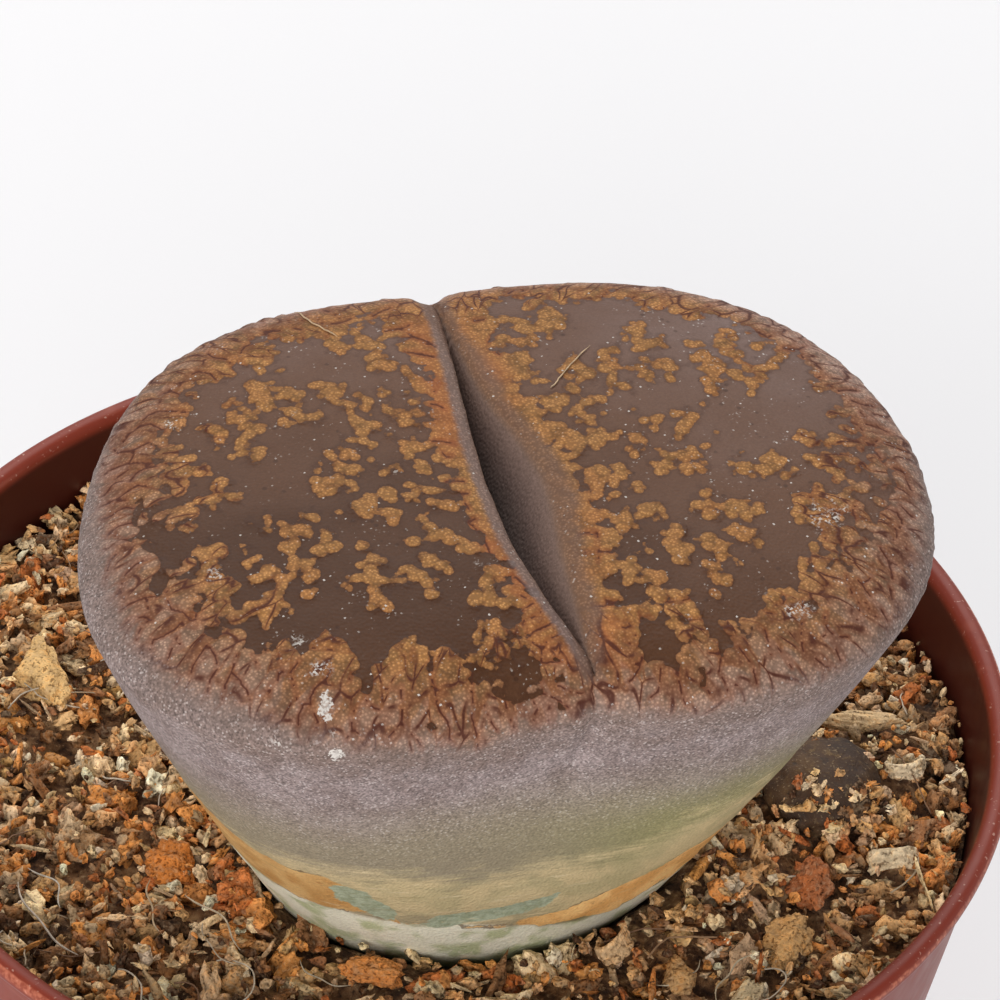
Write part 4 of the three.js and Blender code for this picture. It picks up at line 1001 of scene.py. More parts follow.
# inside the fissure: wall colour that darkens with depth, painted shade in the cleft
gro = g.step(drop_a, 0.06, 0.45)
wall = g.ramp(g.line(drop_a, 0.0, 5.0), [(0.0, lin((126, 102, 86))), (0.10, lin((122, 100, 90))), (0.28, lin((112, 93, 86))), (0.50, lin((102, 89, 84))), (0.80, lin((80, 70, 67)))])
wall = g.scale(wall, g.mad(grain, 0.28, 1.0))
col = g.mix(gro, col, wall)

# pale specks, mineral film
dusty = g.step(g.add(n_c, g.mul(g.sub(n_m, 0.5), 0.6)), 0.52, 0.70)
fine = g.mul(g.step(salt, 0.955, 0.985), dusty)
lone = g.step(r2, 0.9985, 0.9990)
specks = g.mul(g.mx(g.mul(fine, 0.42), g.mul(lone, 0.8)), g.mul(grown, g.step(drop_a, 0.4, 0.1)))
film_n = g.mul(g.step(g.add(film_a, g.mul(nc, 1.4)), 0.35, 0.85), g.step(salt, 0.55, 0.70))
core_n = g.step(g.add(core_a, g.add(g.mul(nc, 2.2), g.mul(nf, 0.5))), 0.10, 0.40)
white = g.mx(g.mx(specks, g.mul(film_n, 0.8)), g.mul(core_n, g.step(salt, 0.2, 0.6, 0.45, 0.95)))
col = g.mix(white, col, lin((214, 208, 200)))

# fine grain, in mm
hgt = g.mul(g.noise(6400, 0, 0.5), g.step(win_a, -2.0, 2.0, 0.050, 0.022))
b1 = g.bump(hgt, 0.001, 0.9)
rough = g.add(g.mul(win_m, g.mul(grown, -0.16)), g.mad(nm, 0.12, 0.64))
g.set(Base_Color=col, Roughness=rough, Normal=b1)
g.bsdf.inputs["IOR"].default_value = 1.40
g.bsdf.inputs["Specular IOR Level"].default_value = 0.20
leaf_mat = g.mat

mid = 0.5 + 0.42 * fbm(V / 1.15, 3, 81)
broad = 0.5 + 0.42 * fbm(V / 3.9, 3, 85)
# lighter towards the back and right, with broad random tone: drives the painted sheen on windows and tissue
painted_sheen = np.clip((V[:, 1] + 12.5) / 24, 0, 1) + 0.5 * (broad - 0.5) + 0.18 * smooth(4, 14, V[:, 0])
green = smooth(0.10, 0.42, W_all) * np.exp(-((((deg - 318 + 180) % 360 - 180)) / 26) ** 2) + 0.5 * smooth(0.3, 0.5, W_all) * np.exp(-((((deg - 60 + 180) % 360 - 180)) / 50) ** 2)
plant = new_object("lithops_leaf_pair", V, T, leaf_mat, dict(
    win=win, crack=crack, own=own, mcx=RB * np.cos(T_all), mcy=RB * np.sin(T_all), mcz=0.50 * (S_all - SE), margin=margin, w=W_all, drop=drop, fis=fis, fisw=fis_w, infis=in_y,
    ochre=np.clip(ochre, -3, 3), khaki=np.clip(khaki, -4, 4), glauc=np.clip(glauc, -2, 2), foot=np.clip(foot, -3, 3),
    film=film, core=film_core, green=np.clip(green, 0, 1), mid=mid, broad=broad, painted_sheen=np.clip(painted_sheen, 0, 1)))
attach(plant, "root")
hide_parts("lithops_plant")

# ------------------------------------------------------------------ helpers for the loose stuff
def mix_level(x, y):
    return 45 + 0.32 * np.sin(0.31 * x + 1.3) * np.cos(0.27 * y - 0.4) + 0.22 * np.sin(0.62 * x - 0.45 * y + 2.0) + 0.12 * np.sin(1.1 * y + 0.6 * x)


def leaf_radius(t, z):
    """Half width of the leaf pair at a height in mm, about its own foot."""
    w = np.clip(1 - (z - BODY_AT[2]) / BODY_H, 0, 1.3)
    gg = np.minimum(w, 1) ** FLANK_EXP
    return outline(t) * (1 - gg) + base_outline(t) * gg


def ball(level):
    bm = bmesh.new()
    bmesh.ops.create_icosphere(bm, subdivisions=level, radius=1.0)
    v = np.array([tuple(p.co) for p in bm.verts])
    f = np.array([[q.index for q in p.verts] for p in bm.faces])
    bm.free()
    return v, f


BALLS = {k: ball(k) for k in (2, 3, 4, 5)}


def rotations(n, rng, flat=0.5):
    """Random turns; flat pulls the pieces' thin axis towards upright."""
    yaw = rng.uniform(0, 2 * np.pi, n)
    tilt = rng.normal(0, 1, n) * flat
    roll = rng.normal(0, 1, n) * flat
    out = np.zeros((n, 3, 3))
    cy, sy, ct, st, cr, sr = np.cos(yaw), np.sin(yaw), np.cos(tilt), np.sin(tilt), np.cos(roll), np.sin(roll)
    Rz = np.zeros((n, 3, 3)); Rz[:, 0, 0] = cy; Rz[:, 0, 1] = -sy; Rz[:, 1, 0] = sy; Rz[:, 1, 1] = cy; Rz[:, 2, 2] = 1
    Rx = np.zeros((n, 3, 3)); Rx[:, 0, 0] = 1; Rx[:, 1, 1] = ct; Rx[:, 1, 2] = -st; Rx[:, 2, 1] = st; Rx[:, 2, 2] = ct
    Ry = np.zeros((n, 3, 3)); Ry[:, 1, 1] = 1; Ry[:, 0, 0] = cr; Ry[:, 0, 2] = sr; Ry[:, 2, 0] = -sr; Ry[:, 2, 2] = cr
    return Rz @ Rx @ Ry


RELIEF_SHADING = []


def chunks(n, level, rng, half, rough=0.22, planes=6, fibre=0.5):
    """n craggy split pieces (n, verts, 3) with half sizes (n, 3)."""
    v, f = BALLS[level]
    V0 = np.repeat(v[None], n, 0)
    # flat broken faces
    for k in range(planes):
        d = rng.normal(size=(n, 3)); d /= np.linalg.norm(d, axis=1, keepdims=True)
        off = rng.uniform(0.45, 0.85, n)
        dist = np.einsum("nvk,nk->nv", V0, d)
        over = np.maximum(dist - off[:, None], 0)
        V0 = V0 - over[..., None] * d[:, None, :]
    base = V0.reshape(-1, 3)
    offs = np.repeat(rng.uniform(-40, 40, (n, 3)), len(v), 0)
    r = fbm(base * 1.7 + offs, 3, 3) * rough * 1.3 + fbm(base * 4.3 + offs, 2, 9) * rough * 0.55
    # ridges along the grain (x)
    ridge = fbm(base * np.array([0.6, 5.0, 5.0]) + offs, 2, 5) * rough * fibre
    knob = near_cells(base * 1.75 + offs, 31)[0]
    knob = (0.46 - knob) * rough * 1.15
    base = base * (1 + 0.8 * r + ridge + knob)[:, None]
    # tint factor from the same relief, bumps lighter and hollows darker: painted highlight and painted shade
    RELIEF_SHADING.append((1 + 0.9 * (r + ridge) + 1.9 * knob).reshape(n, len(v)))
    return base.reshape(n, len(v), 3) * half[:, None, :], f


def merged(parts):
    """Joins (verts (n,m,3), faces, per-piece attributes) into arrays."""
    Vs, Fs, As, o = [], [], [], 0
    for v, f, a in parts:
        n, m = v.shape[:2]
        relief_shading = RELIEF_SHADING.pop()
        a = np.repeat(a[:, None, :], m, 1)
        # each vertex's tint scaled by its relief: painted highlight on bumps, painted shade in hollows
        a[..., :3] *= np.clip(relief_shading, 0.30, 1.6)[..., None]
        Vs.append(v.reshape(-1, 3))
        Fs.append((f[None] + (np.arange(n) * m)[:, None, None] + o).reshape(-1, 3))
        As.append(a.reshape(-1, 4))
        o += n * m
    return np.concatenate(Vs), np.concatenate(Fs), np.concatenate(As)


PALETTE = np.array([lin(c)[:3] for c in [(222, 192, 150), (200, 156, 106), (204, 138, 76), (178, 106, 58), (140, 98, 64), (80, 55, 38), (182, 152, 116), (232, 212, 180)]])


def pick_colours(n, x, y, rng, dark=0.0):
    """Colour per piece: cream, tan, orange, rust, brown, dark, grey, pale, by place."""
    w = np.tile(np.array([0.19, 0.24, 0.13, 0.06, 0.16, 0.09, 0.08, 0.05]), (n, 1))
    left = smooth(-4, -16, x)
    w[:, 2] += 0.09 * left; w[:, 3] += 0.02 * left; w[:, 0] += 0.04 * left
    front_left = np.exp(-(((x + 10) / 5) ** 2 + ((y + 9.5) / 3.0) ** 2))
    w[:, 3] += 0.20 * front_left; w[:, 2] += 0.6 * front_left
    near = np.exp(-(((x + 14) / 9) ** 2 + ((y + 17) / 4.5) ** 2))
    w[:, 6] += 0.22 * near; w[:, 5] += 0.10 * near; w[:, 2] -= 0.10 * near; w[:, 3] -= 0.06 * near
    w[:, 5] += dark
    w = np.maximum(w, 0.01); w /= w.sum(1, keepdims=True)
    c = w.cumsum(1)
    k = (rng.uniform(size=n)[:, None] > c).sum(1).clip(0, 7)
    col = PALETTE[k] * rng.uniform(0.86, 1.28, (n, 1)) * (1 + rng.normal(0, 0.025, (n, 3)))
    return np.concatenate([np.clip(col, 0.004, 0.85), rng.uniform(0, 1, (n, 1))], 1)


def bark_material(name):
    g = Graph(name)
    base = g.attr("tint", "Color")
    rnd = g.attr("tint", "Alpha")
    n1, n2 = g.noise(1700, 2, 0.72), g.noise(4600, 1, 0.7)
    sh = g.mul(g.sub(rnd, 0.5), 0.16)
    col = g.scale(base, g.step(n1, 0.30, 0.70, 0.85, 1.50))
    col = g.mix(g.mul(g.step(g.add(n1, sh), 0.53, 0.66), 0.50), col, g.vadd(g.vmul(base, (1.05, 0.80, 0.50)), (0.07, 0.028, 0.004)))
    col = g.mix(g.mul(g.step(g.sub(n1, sh), 0.47, 0.34), 0.55), col, g.vadd(g.scale(base, 0.80), (0.26, 0.190, 0.120)))
    col = g.mix(g.mul(g.step(n2, 0.56, 0.72), 0.60), col, g.vadd(g.scale(base, 0.9), (0.22, 0.165, 0.105)))
    col = g.mix(g.mul(g.step(n2, 0.45, 0.30), 0.78), col, g.vmul(base, (0.26, 0.21, 0.17)))
    b = g.bump(g.mul(n2, 0.20), 0.001, 1.0)
    g.set(Base_Color=col, Roughness=0.86, Normal=b)
    g.bsdf.inputs["Specular IOR Level"].default_value = 0.18
    return g.mat


bark_mat = bark_material("bark_bits")

# ------------------------------------------------------------------ potting mix: body under the loose bits
POT_H, LIP_R, WALL_TOP, WALL_BASE, WALL_T = 49.0, 27.5, 26.98, 19.5, 0.62


def wall_at(z):
    return WALL_BASE + (WALL_TOP - WALL_BASE) * z / (POT_H - 0.95)


seg_n = 220
ta = np.arange(seg_n) / seg_n * 2 * np.pi
rings = []
for r, z in [(wall_at(2.4) - WALL_T - 1.25, 2.45), (wall_at(4.2) - WALL_T - 0.35, 4.2), (wall_at(14) - WALL_T - 0.35, 14), (wall_at(24) - WALL_T - 0.35, 24), (wall_at(34) - WALL_T - 0.35, 34), (wall_at(43.4) - WALL_T - 0.38, 43.4)]:
    rings.append(np.stack([r * np.cos(ta), r * np.sin(ta), np.full(seg_n, z)], -1))
n_side = len(rings)
for r in np.concatenate([[25.75], np.linspace(25.2, 8.0, 74), np.linspace(7.2, 0.9, 9)]):
    x, y = r * np.cos(ta), r * np.sin(ta)
    z = mix_level(x, y) - 0.55
    zz = np.stack([x, y, z], -1)
    z = z + 0.14 + 0.42 * fbm(zz / 1.3, 4, 31) + 0.22 * fbm(zz / 0.45, 2, 35)
    dx, dy = x - BODY_AT[0], y - BODY_AT[1]
    inside_leaf = np.hypot(dx, dy) / leaf_radius(np.arctan2(dy, dx), 44.4)
    z = np.where(inside_leaf < 1.05, z - 4 * smooth(1.05, 0.6, inside_leaf), z)
    rings.append(np.stack([x, y, z], -1))
mixV = np.concatenate([[[0, 0, 2.45]], *rings, [[0, 0, 41.0]]])
F = []
j = np.arange(seg_n); k = (j + 1) % seg_n
F.append(np.stack([np.zeros(seg_n, int), 1 + k, 1 + j], -1))
for i in range(len(rings) - 1):
    a, b = 1 + i * seg_n, 1 + (i + 1) * seg_n
    F += [np.stack([a + j, a + k, b + k], -1), np.stack([a + j, b + k, b + j], -1)]
a = 1 + (len(rings) - 1) * seg_n
F.append(np.stack([a + j, a + k, np.full(seg_n, len(mixV) - 1)], -1))
g = Graph("peat")
n1, n2 = g.noise(900, 2, 0.65), g.noise(3600, 2, 0.65)
col = g.ramp(n1, [(0.30, lin((60, 41, 28))), (0.46, lin((106, 74, 49))), (0.58, lin((150, 112, 76))), (0.72, lin((196, 157, 112)))])
col = g.mix(g.mul(g.step(n2, 0.56, 0.72), 0.6), col, lin((208, 174, 132)))
col = g.mix(g.mul(g.step(n2, 0.44, 0.32), 0.7), col, lin((44, 29, 20)))
g.set(Base_Color=col, Roughness=0.92, Normal=g.bump(n2, 0.0002, 1.0))
peat = new_object("potting_mix_body", mixV, np.concatenate(F), g.mat)
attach(peat, "root"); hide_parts("potting_mix")

# ------------------------------------------------------------------ loose bits on the mix
CHIPS = dict(
    wood_sliver_right=(20.5, 3.6, 2.5, 0.8, 0.55, 0.10), bark_curl_right=(22.6, 0.6, 1.0, 1.25, 0.6, 0.3), cream_flake_right=(22.0, -5.2, 1.4, 1.2, 0.5, 0.7),
    rust_bark_lump_right=(18.2, -7.4, 1.3, 1.9, 0.8, 0.2), tan_bark_chip_right=(17.0, -11.4, 1.3, 2.1, 0.8, -0.2), wood_shard_front=(14.9, -15.9, 0.7, 1.7, 0.5, -0.5),
    tan_bark_block_front=(12.1, -14.4, 1.0, 1.35, 0.7, 0.3), bark_curl_front=(8.9, -13.2, 0.95, 1.2, 0.6, 0.9), orange_bark_chip_front=(-1.7, -16.0, 2.0, 1.0, 0.7, -0.1),
    orange_bark_flake_left=(-11.9, -9.6, 1.3, 1.5, 0.5, 0.2), cream_bark_chip_left=(-19.6, 2.4, 1.5, 2.7, 0.8, 0.35), orange_bark_chip_rear_left=(-17.6, 14.0, 1.5, 1.6, 0.8, 0.5))
STONE = (18.6, -0.9, 2.95, 3.1, 1.9)
rng = np.random.default_rng(23)


def spots(n, size, rng, rmax=26.05, lift=0.0, clear=0.5, keep_chips=0.7):
    """Places on the mix for pieces of half size `size`, kept apart from each other."""
    out, grid = [], {}
    c = 1.6
    tries = 0
    for s in -np.sort(-size):
        for _ in range(26):
            tries += 1
            r = rmax * math.sqrt(rng.uniform()) if rng.uniform() < 0.9 else rmax * rng.uniform(0.8, 1)
            a = rng.uniform(0, 2 * math.pi)
            x, y = r * math.cos(a), r * math.sin(a)
            if math.hypot(x, y) + s * 0.75 > rmax:
                continue
            dx, dy = x - BODY_AT[0], y - BODY_AT[1]
            if math.hypot(dx, dy) < float(leaf_radius(math.atan2(dy, dx), 45.0 + lift + s * 0.7)) + s * 0.45:
                continue
            if math.hypot((x - STONE[0]) / (STONE[2] + s * 0.5), (y - STONE[1]) / (STONE[3] + s * 0.5)) < 1:
                continue
            if keep_chips and s > 0.45 and any(math.hypot((x - q[0]), (y - q[1])) < keep_chips * max(q[2], q[3]) + s * 0.6 for q in CHIPS.values()):
                continue
            i, j = int(x // c), int(y // c)
            if any((q[0] - x) ** 2 + (q[1] - y) ** 2 < (clear * (q[2] + s)) ** 2 for a_ in (-1, 0, 1) for b_ in (-1, 0, 1) for q in grid.get((i + a_, j + b_), ())):
                continue
            grid.setdefault((i, j), []).append((x, y, s))
            out.append((x, y, s))
            break
    return np.array(out)


def lay(n, lo, hi, level, rng, lift, flat, clear, aspect, rough, dark=0.0, rmax=26.05, keep_chips=0.7, fibre=0.5):
    size = np.clip(np.exp(rng.normal(math.log((lo * hi) ** 0.5), 0.35, n)), lo, hi)
    sp = spots(n, size, rng, rmax=rmax, lift=lift, clear=clear, keep_chips=keep_chips)
    m = len(sp)
    half = np.stack([sp[:, 2] * rng.uniform(*aspect[0], m), sp[:, 2] * rng.uniform(*aspect[1], m), sp[:, 2] * rng.uniform(*aspect[2], m)], -1)
    v, f = chunks(m, level, rng, half, rough=rough, fibre=fibre)
    v = np.einsum("nij,nvj->nvi", rotations(m, rng, flat), v)
    z = mix_level(sp[:, 0], sp[:, 1]) + lift + rng.uniform(-0.15, 0.25, m)
    v = v + np.stack([sp[:, 0], sp[:, 1], z], -1)[:, None, :]
    return v, f, pick_colours(m, sp[:, 0], sp[:, 1], rng, dark)


sets = []


def one(name, *args, **kw):
    RELIEF_SHADING.clear()
    sets.append((name, [lay(*args, **kw)], list(RELIEF_SHADING)))


one("bark_bits_large", 430, 0.55, 1.20, 3, rng, -0.10, 0.5, 0.58, ((0.9, 1.4), (0.65, 0.95), (0.45, 0.8)), 0.62)
one("bark_bits_craggy", 520, 0.36, 0.78, 3, rng, 0.30, 0.7, 0.50, ((0.9, 1.5), (0.6, 0.95), (0.4, 0.8)), 0.66)
one("bark_bits_medium", 1620, 0.28, 0.52, 2, rng, 0.30, 0.7, 0.50, ((0.9, 1.5), (0.55, 0.95), (0.4, 0.8)), 0.60)
one("bark_bits_small", 2240, 0.14, 0.32, 2, rng, 0.62, 0.9, 0.5, ((0.9, 1.6), (0.55, 0.95), (0.4, 0.9)), 0.55, keep_chips=0.0)
# long thin splinters and strips
one("bark_splinters", 230, 0.40, 1.2, 2, rng, 0.62, 0.40, 0.35, ((1.1, 1.5), (0.16, 0.32), (0.10, 0.22)), 0.45, fibre=1.2, rmax=25.4)
for name, parts, relief_shading in sets:
    RELIEF_SHADING[:] = relief_shading
    v, f, a = merged(parts)
    r = np.hypot(v[:, 0], v[:, 1])
    lim = np.where(v[:, 2] < 48.0, wall_at(v[:, 2]) - WALL_T - 0.04, 26.2)
    over = r > lim
    v[over, :2] *= (lim[over] / r[over])[:, None]
    v[:, 2] = np.minimum(v[:, 2], 48.6)
    print(name, len(f))
    ob = new_object(name, v, f, bark_mat, dict(tint=a))
    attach(ob, "root")


# ------------------------------------------------------------------ fine roots and fibres
def tube(path, radius, sides=6):
    path = np.asarray(path, float)
    n = len(path)
    d = np.gradient(path, axis=0)
    d /= np.maximum(np.linalg.norm(d, axis=1, keepdims=True), 1e-9)
    upv = np.array([0.13, 0.07, 1.0])
    s1 = np.cross(d, upv); s1 /= np.linalg.norm(s1, axis=1, keepdims=True)
    s2 = np.cross(s1, d)
    a = np.arange(sides) / sides * 2 * np.pi
    rad = np.broadcast_to(radius, (n,))
    v = (path[:, None] + rad[:, None, None] * (np.cos(a)[None, :, None] * s1[:, None] + np.sin(a)[None, :, None] * s2[:, None])).reshape(-1, 3)
    j = np.arange(sides); k = (j + 1) % sides
    f = []
    for i in range(n - 1):
        p, q = i * sides, (i + 1) * sides
        f += [np.stack([p + j, p + k, q + k], -1), np.stack([p + j, q + k, q + j], -1)]
    v = np.concatenate([v, path[:1], path[-1:]])
    f.append(np.stack([np.full(sides, len(v) - 2), k, j], -1))
    e = (n - 1) * sides
    f.append(np.stack([np.full(sides, len(v) - 1), e + j, e + k], -1))
    return v, np.concatenate(f)


def place_front(px, py, z):
    """Point in mm at height z seen at front-view place (px, py)."""
    d = -BACK + R2 * (px - 500) / FOCAL + U2 * (500 - py) / FOCAL
    return EYE + d * (z - EYE[2]) / d[2]


def fibre_material():
    g = Graph("root_fibre")
    base = g.attr("tint", "Color")
    n = g.noise(2400, 3, 0.6)
    g.set(Base_Color=g.scale(base, g.step(n, 0.3, 0.7, 0.72, 1.12)), Roughness=0.62, Normal=g.bump(n, 0.00002, 0.6))
    g.bsdf.inputs["Subsurface Weight"].default_value = 0.0
    return g.mat


fibre_mat = fibre_material()
fr = np.random.default_rng(77)
fv, ff, fa, o = [], [], [], 0
routes = []
for (x1, y1), (x2, y2), z, bow, rad, c in [((18, 882), (78, 955), 46.2, 0.5, 0.055, (200, 184, 164)), ((185, 895), (240, 950), 46.1, -0.5, 0.05, (196, 178, 150)), ((150, 880), (163, 935), 46.2, 0.3, 0.05, (190, 165, 130)),
                                            ((28, 868), (60, 908), 46.1, -0.6, 0.04, (206, 196, 180)), ((752, 955), (716, 1000), 45.9, 0.4, 0.045, (206, 190, 160)), ((205, 920), (240, 965), 45.9, 0.7, 0.035, (186, 170, 146)),
                                            ((300, 960), (352, 985), 45.9, 0.6, 0.035, (190, 176, 152)), ((655, 985), (700, 960), 45.9, 0.5, 0.04, (190, 176, 150))]:
    A, B = place_front(x1, y1, z), place_front(x2, y2, z)
    t = np.linspace(0, 1, 26)[:, None]
    side = np.cross(B - A, [0, 0, 1]); side /= np.linalg.norm(side)
    p = A * (1 - t) + B * t + side * bow * np.sin(t * np.pi) + side * 0.12 * np.sin(t * 9.5)
    p[:, 2] = np.maximum(p[:, 2], mix_level(p[:, 0], p[:, 1]) + 0.75)
    routes.append((p, rad * np.clip(np.minimum(t[:, 0], 1 - t[:, 0]) * 8, 0.45, 1), c))
for _ in range(95):
    r, a = 25.2 * math.sqrt(fr.uniform(0.12, 1)), fr.uniform(0, 2 * math.pi)
    x, y = r * math.cos(a), r * math.sin(a)
    L = fr.uniform(1.4, 5.0)
    h0 = fr.uniform(0, 2 * math.pi)
    n = 16
    hd = h0 + np.cumsum(fr.normal(0, 0.16, n)) + np.linspace(0, fr.normal(0, 1.0), n)
    p = np.stack([x + np.cumsum(np.cos(hd)) * L / n, y + np.cumsum(np.sin(hd)) * L / n, np.zeros(n)], -1)
    if np.hypot(p[:, 0], p[:, 1]).max() > 25.4:
        continue
    dx, dy = p[:, 0] - BODY_AT[0], p[:, 1] - BODY_AT[1]
    if (np.hypot(dx, dy) < leaf_radius(np.arctan2(dy, dx), 46.2) + 0.3).any():
        continue
    if (np.hypot((p[:, 0] - STONE[0]) / 3.2, (p[:, 1] - STONE[1]) / 3.4) < 1).any():
        continue
    p[:, 2] = mix_level(p[:, 0], p[:, 1]) + fr.uniform(0.45, 0.8) + 0.3 * np.sin(np.linspace(0, math.pi, n)) * fr.uniform(0, 1)
    routes.append((p, fr.uniform(0.025, 0.05), [(186, 166, 136), (160, 126, 92), (136, 102, 74), (206, 192, 170)][fr.integers(0, 4)]))
for p, rad, c in routes:
    v, f = tube(p, rad)
    fv.append(v); ff.append(f + o); o += len(v)
    fa.append(np.repeat([list(lin(c)[:3]) + [0.5]], len(v), 0))
ob = new_object("root_fibres", np.concatenate(fv), np.concatenate(ff), fibre_mat, dict(tint=np.concatenate(fa)))
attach(ob, "root")


# ------------------------------------------------------------------ the larger chips, one by one
def chip_base(name):
    x, y, hx, hy, hz, turn = CHIPS[name]
    return np.array([x, y, mix_level(x, y) + 0.45 + hz]), np.array([hx, hy, hz]), turn


def turn_z(v, a):
    c, s_ = math.cos(a), math.sin(a)
    return np.stack([v[:, 0] * c - v[:, 1] * s_, v[:, 0] * s_ + v[:, 1] * c, v[:, 2]], -1)


def add_chip(name, v, f, colour, vary=None):
    tint = np.concatenate([np.repeat([lin(colour)[:3]], len(v), 0), np.full((len(v), 1), 0.5)], 1)
    if vary is not None:
        tint[:, :3] *= vary[:, None]
    ob = new_object(name + "_look", v, f, bark_mat, dict(tint=tint))
    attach(ob, "root"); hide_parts(name)
    return ob


def lump(name, colour, seed, rough=0.26, planes=7, fibre=0.6, pits=0.0, tilt=(0, 0), level=5, long_axis=1, settle=0.5, layers=0.0):
    c, half, turn = chip_base(name)
    r = np.random.default_rng(seed)
    v, f = BALLS[level]
    v = v.copy()
    for _ in range(planes):
        d = r.normal(size=3); d /= np.linalg.norm(d)
        over = np.maximum(v @ d - r.uniform(0.5, 0.85), 0)
        v -= over[:, None] * d
    ax = np.array([0.6, 4.5, 5.5]) if long_axis == 0 else np.array([4.5, 0.6, 5.5])
    n = rough * (1.2 * fbm(v * 1.8 + seed, 3, seed) + 0.5 * fbm(v * 4.5 + seed, 3, seed + 4) + fibre * 0.5 * fbm(v * ax + seed, 3, seed + 7) + 0.22 * fbm(v * 13 + seed, 2, seed + 11))
    if pits:
        n -= pits * smooth(0.25, 0.55, fbm(v * 3.1 - seed, 2, seed + 2))
    if layers:
        n += layers * np.sin(v[:, 2] * 9 + 2 * fbm(v * 1.5, 2, seed)) * 0.5
    v = v * (1 + n)[:, None]
    v = v / np.abs(v).max(0) * half
    a, b = tilt
    v = np.stack([v[:, 0], v[:, 1] * math.cos(a) - v[:, 2] * math.sin(a), v[:, 1] * math.sin(a) + v[:, 2] * math.cos(a)], -1)
    v = np.stack([v[:, 0] * math.cos(b) + v[:, 2] * math.sin(b), v[:, 1], -v[:, 0] * math.sin(b) + v[:, 2] * math.cos(b)], -1)
    v = turn_z(v, turn) + c - [0, 0, settle]
    # tint follows the relief, bumps lighter and hollows and pits darker: painted highlight and painted shade
    return add_chip(name, v, f, colour, 1 + 0.9 * n)


def curl(name, colour, seed, arc=(0.3, 5.6), rad=0.9, thick=0.22, length=0.8, axis=0.0, lean=0.3, squash=0.8, settle=0.45, taper=0.0, wave=0.12):
    """A thin curled strip: part of a tube with a ragged edge."""
    c, half, turn = chip_base(name)
    na, nl = 64, 16
    aa = np.linspace(arc[0], arc[1], na)
    ll = np.linspace(-1, 1, nl)
    A, L = np.meshgrid(aa, ll)
    P = np.stack([A.ravel(), L.ravel(), np.zeros(A.size)], -1)
    nz = fbm(P * np.array([1.3, 1.6, 1]) + seed, 3, seed)
    nz2 = fbm(P * np.array([4.0, 4.0, 1]) + seed, 3, seed + 3)
    t_ = (A.ravel() - arc[0]) / (arc[1] - arc[0])
    edge_fall = 1 - 0.55 * np.abs(L.ravel()) ** 4
    th = thick * (0.75 + 0.6 * nz2) * edge_fall * (1 - taper * t_)
    R0 = rad * (1 + wave * nz - 0.16 * t_)
    Lx = L.ravel() * length * (1 + 0.22 * nz) * (1 - 0.5 * taper * t_)
    outer = np.stack([(R0 + th / 2) * np.cos(A.ravel()), Lx, squash * (R0 + th / 2) * np.sin(A.ravel())], -1)
    inner = np.stack([(R0 - th / 2) * np.cos(A.ravel()), Lx * 0.96, squash * (R0 - th / 2) * np.sin(A.ravel())], -1)
    v = np.concatenate([outer, inner])
    idx = np.arange(na * nl).reshape(nl, na)
    F = []
    def quad(a, b, c_, d):
        F.append(np.stack([a, b, c_], -1).reshape(-1, 3)); F.append(np.stack([a, c_, d], -1).reshape(-1, 3))
    quad(idx[:-1, :-1], idx[:-1, 1:], idx[1:, 1:], idx[1:, :-1])
    m = idx + na * nl
    quad(m[:-1, :-1], m[1:, :-1], m[1:, 1:], m[:-1, 1:])
    quad(idx[0, :-1], m[0, :-1], m[0, 1:], idx[0, 1:])
    quad(idx[-1, :-1], idx[-1, 1:], m[-1, 1:], m[-1, :-1])
    quad(idx[:-1, 0], idx[1:, 0], m[1:, 0], m[:-1, 0])
    quad(idx[:-1, -1], m[:-1, -1], m[1:, -1], idx[1:, -1])
    f = np.concatenate(F)
    a = lean
    v = np.stack([v[:, 0], v[:, 1] * math.cos(a) - v[:, 2] * math.sin(a), v[:, 1] * math.sin(a) + v[:, 2] * math.cos(a)], -1)
    v = turn_z(v, turn + axis)
    v[:, 2] -= v[:, 2].min()
    v = v + [c[0], c[1], c[2] - half[2] - settle]
    return add_chip(name, v, f, colour, np.concatenate([1 + 0.5 * nz2, 0.85 + 0.5 * nz2]))


lump("wood_sliver_right", (206, 176, 134), 41, rough=0.20, planes=5, fibre=1.6, long_axis=0, level=5, tilt=(0.05, 0.06), settle=0.25)
curl("bark_curl_right", (226, 206, 172), 42, arc=(0.2, 5.9), rad=0.88, thick=0.42, length=0.42, axis=0.2, lean=1.15, squash=0.9, wave=0.2)
curl("cream_flake_right", (222, 200, 164), 43, arc=(0.35, 2.9), rad=1.35, thick=0.34, length=0.62, axis=-0.5, lean=0.35, squash=0.75, wave=0.15, taper=0.3)
lump("rust_bark_lump_right", (168, 102, 62), 44, rough=0.30, planes=6, fibre=0.6, pits=0.22, level=5, settle=0.5)
lump("tan_bark_chip_right", (200, 156, 102), 45, rough=0.30, planes=6, fibre=0.8, pits=0.15, level=5, settle=0.45)
lump("wood_shard_front", (206, 184, 146), 46, rough=0.20, planes=5, fibre=1.6, long_axis=1, level=5, tilt=(0.25, 0.0), settle=0.4)
lump("tan_bark_block_front", (196, 154, 104), 47, rough=0.20, planes=8, fibre=0.5, level=5, settle=0.5)
curl("bark_curl_front", (208, 172, 128), 48, arc=(0.3, 4.9), rad=0.92, thick=0.30, length=0.55, axis=0.3, lean=0.9, squash=0.8, wave=0.2)
lump("orange_bark_chip_front", (204, 134, 74), 49, rough=0.24, planes=6, fibre=0.8, long_axis=0, pits=0.10, level=5, tilt=(-0.12, 0.0), settle=0.55)
lump("orange_bark_flake_left", (198, 122, 58), 50, rough=0.30, planes=6, fibre=0.6, pits=0.25, level=5, tilt=(0.18, 0.1), settle=0.4)
lump("cream_bark_chip_left", (216, 176, 118), 51, rough=0.22, planes=8, fibre=0.5, level=5, tilt=(0.05, -0.15), settle=0.45)
lump("orange_bark_chip_rear_left", (186, 122, 68), 52, rough=0.26, planes=6, fibre=0.6, level=5, settle=0.45)

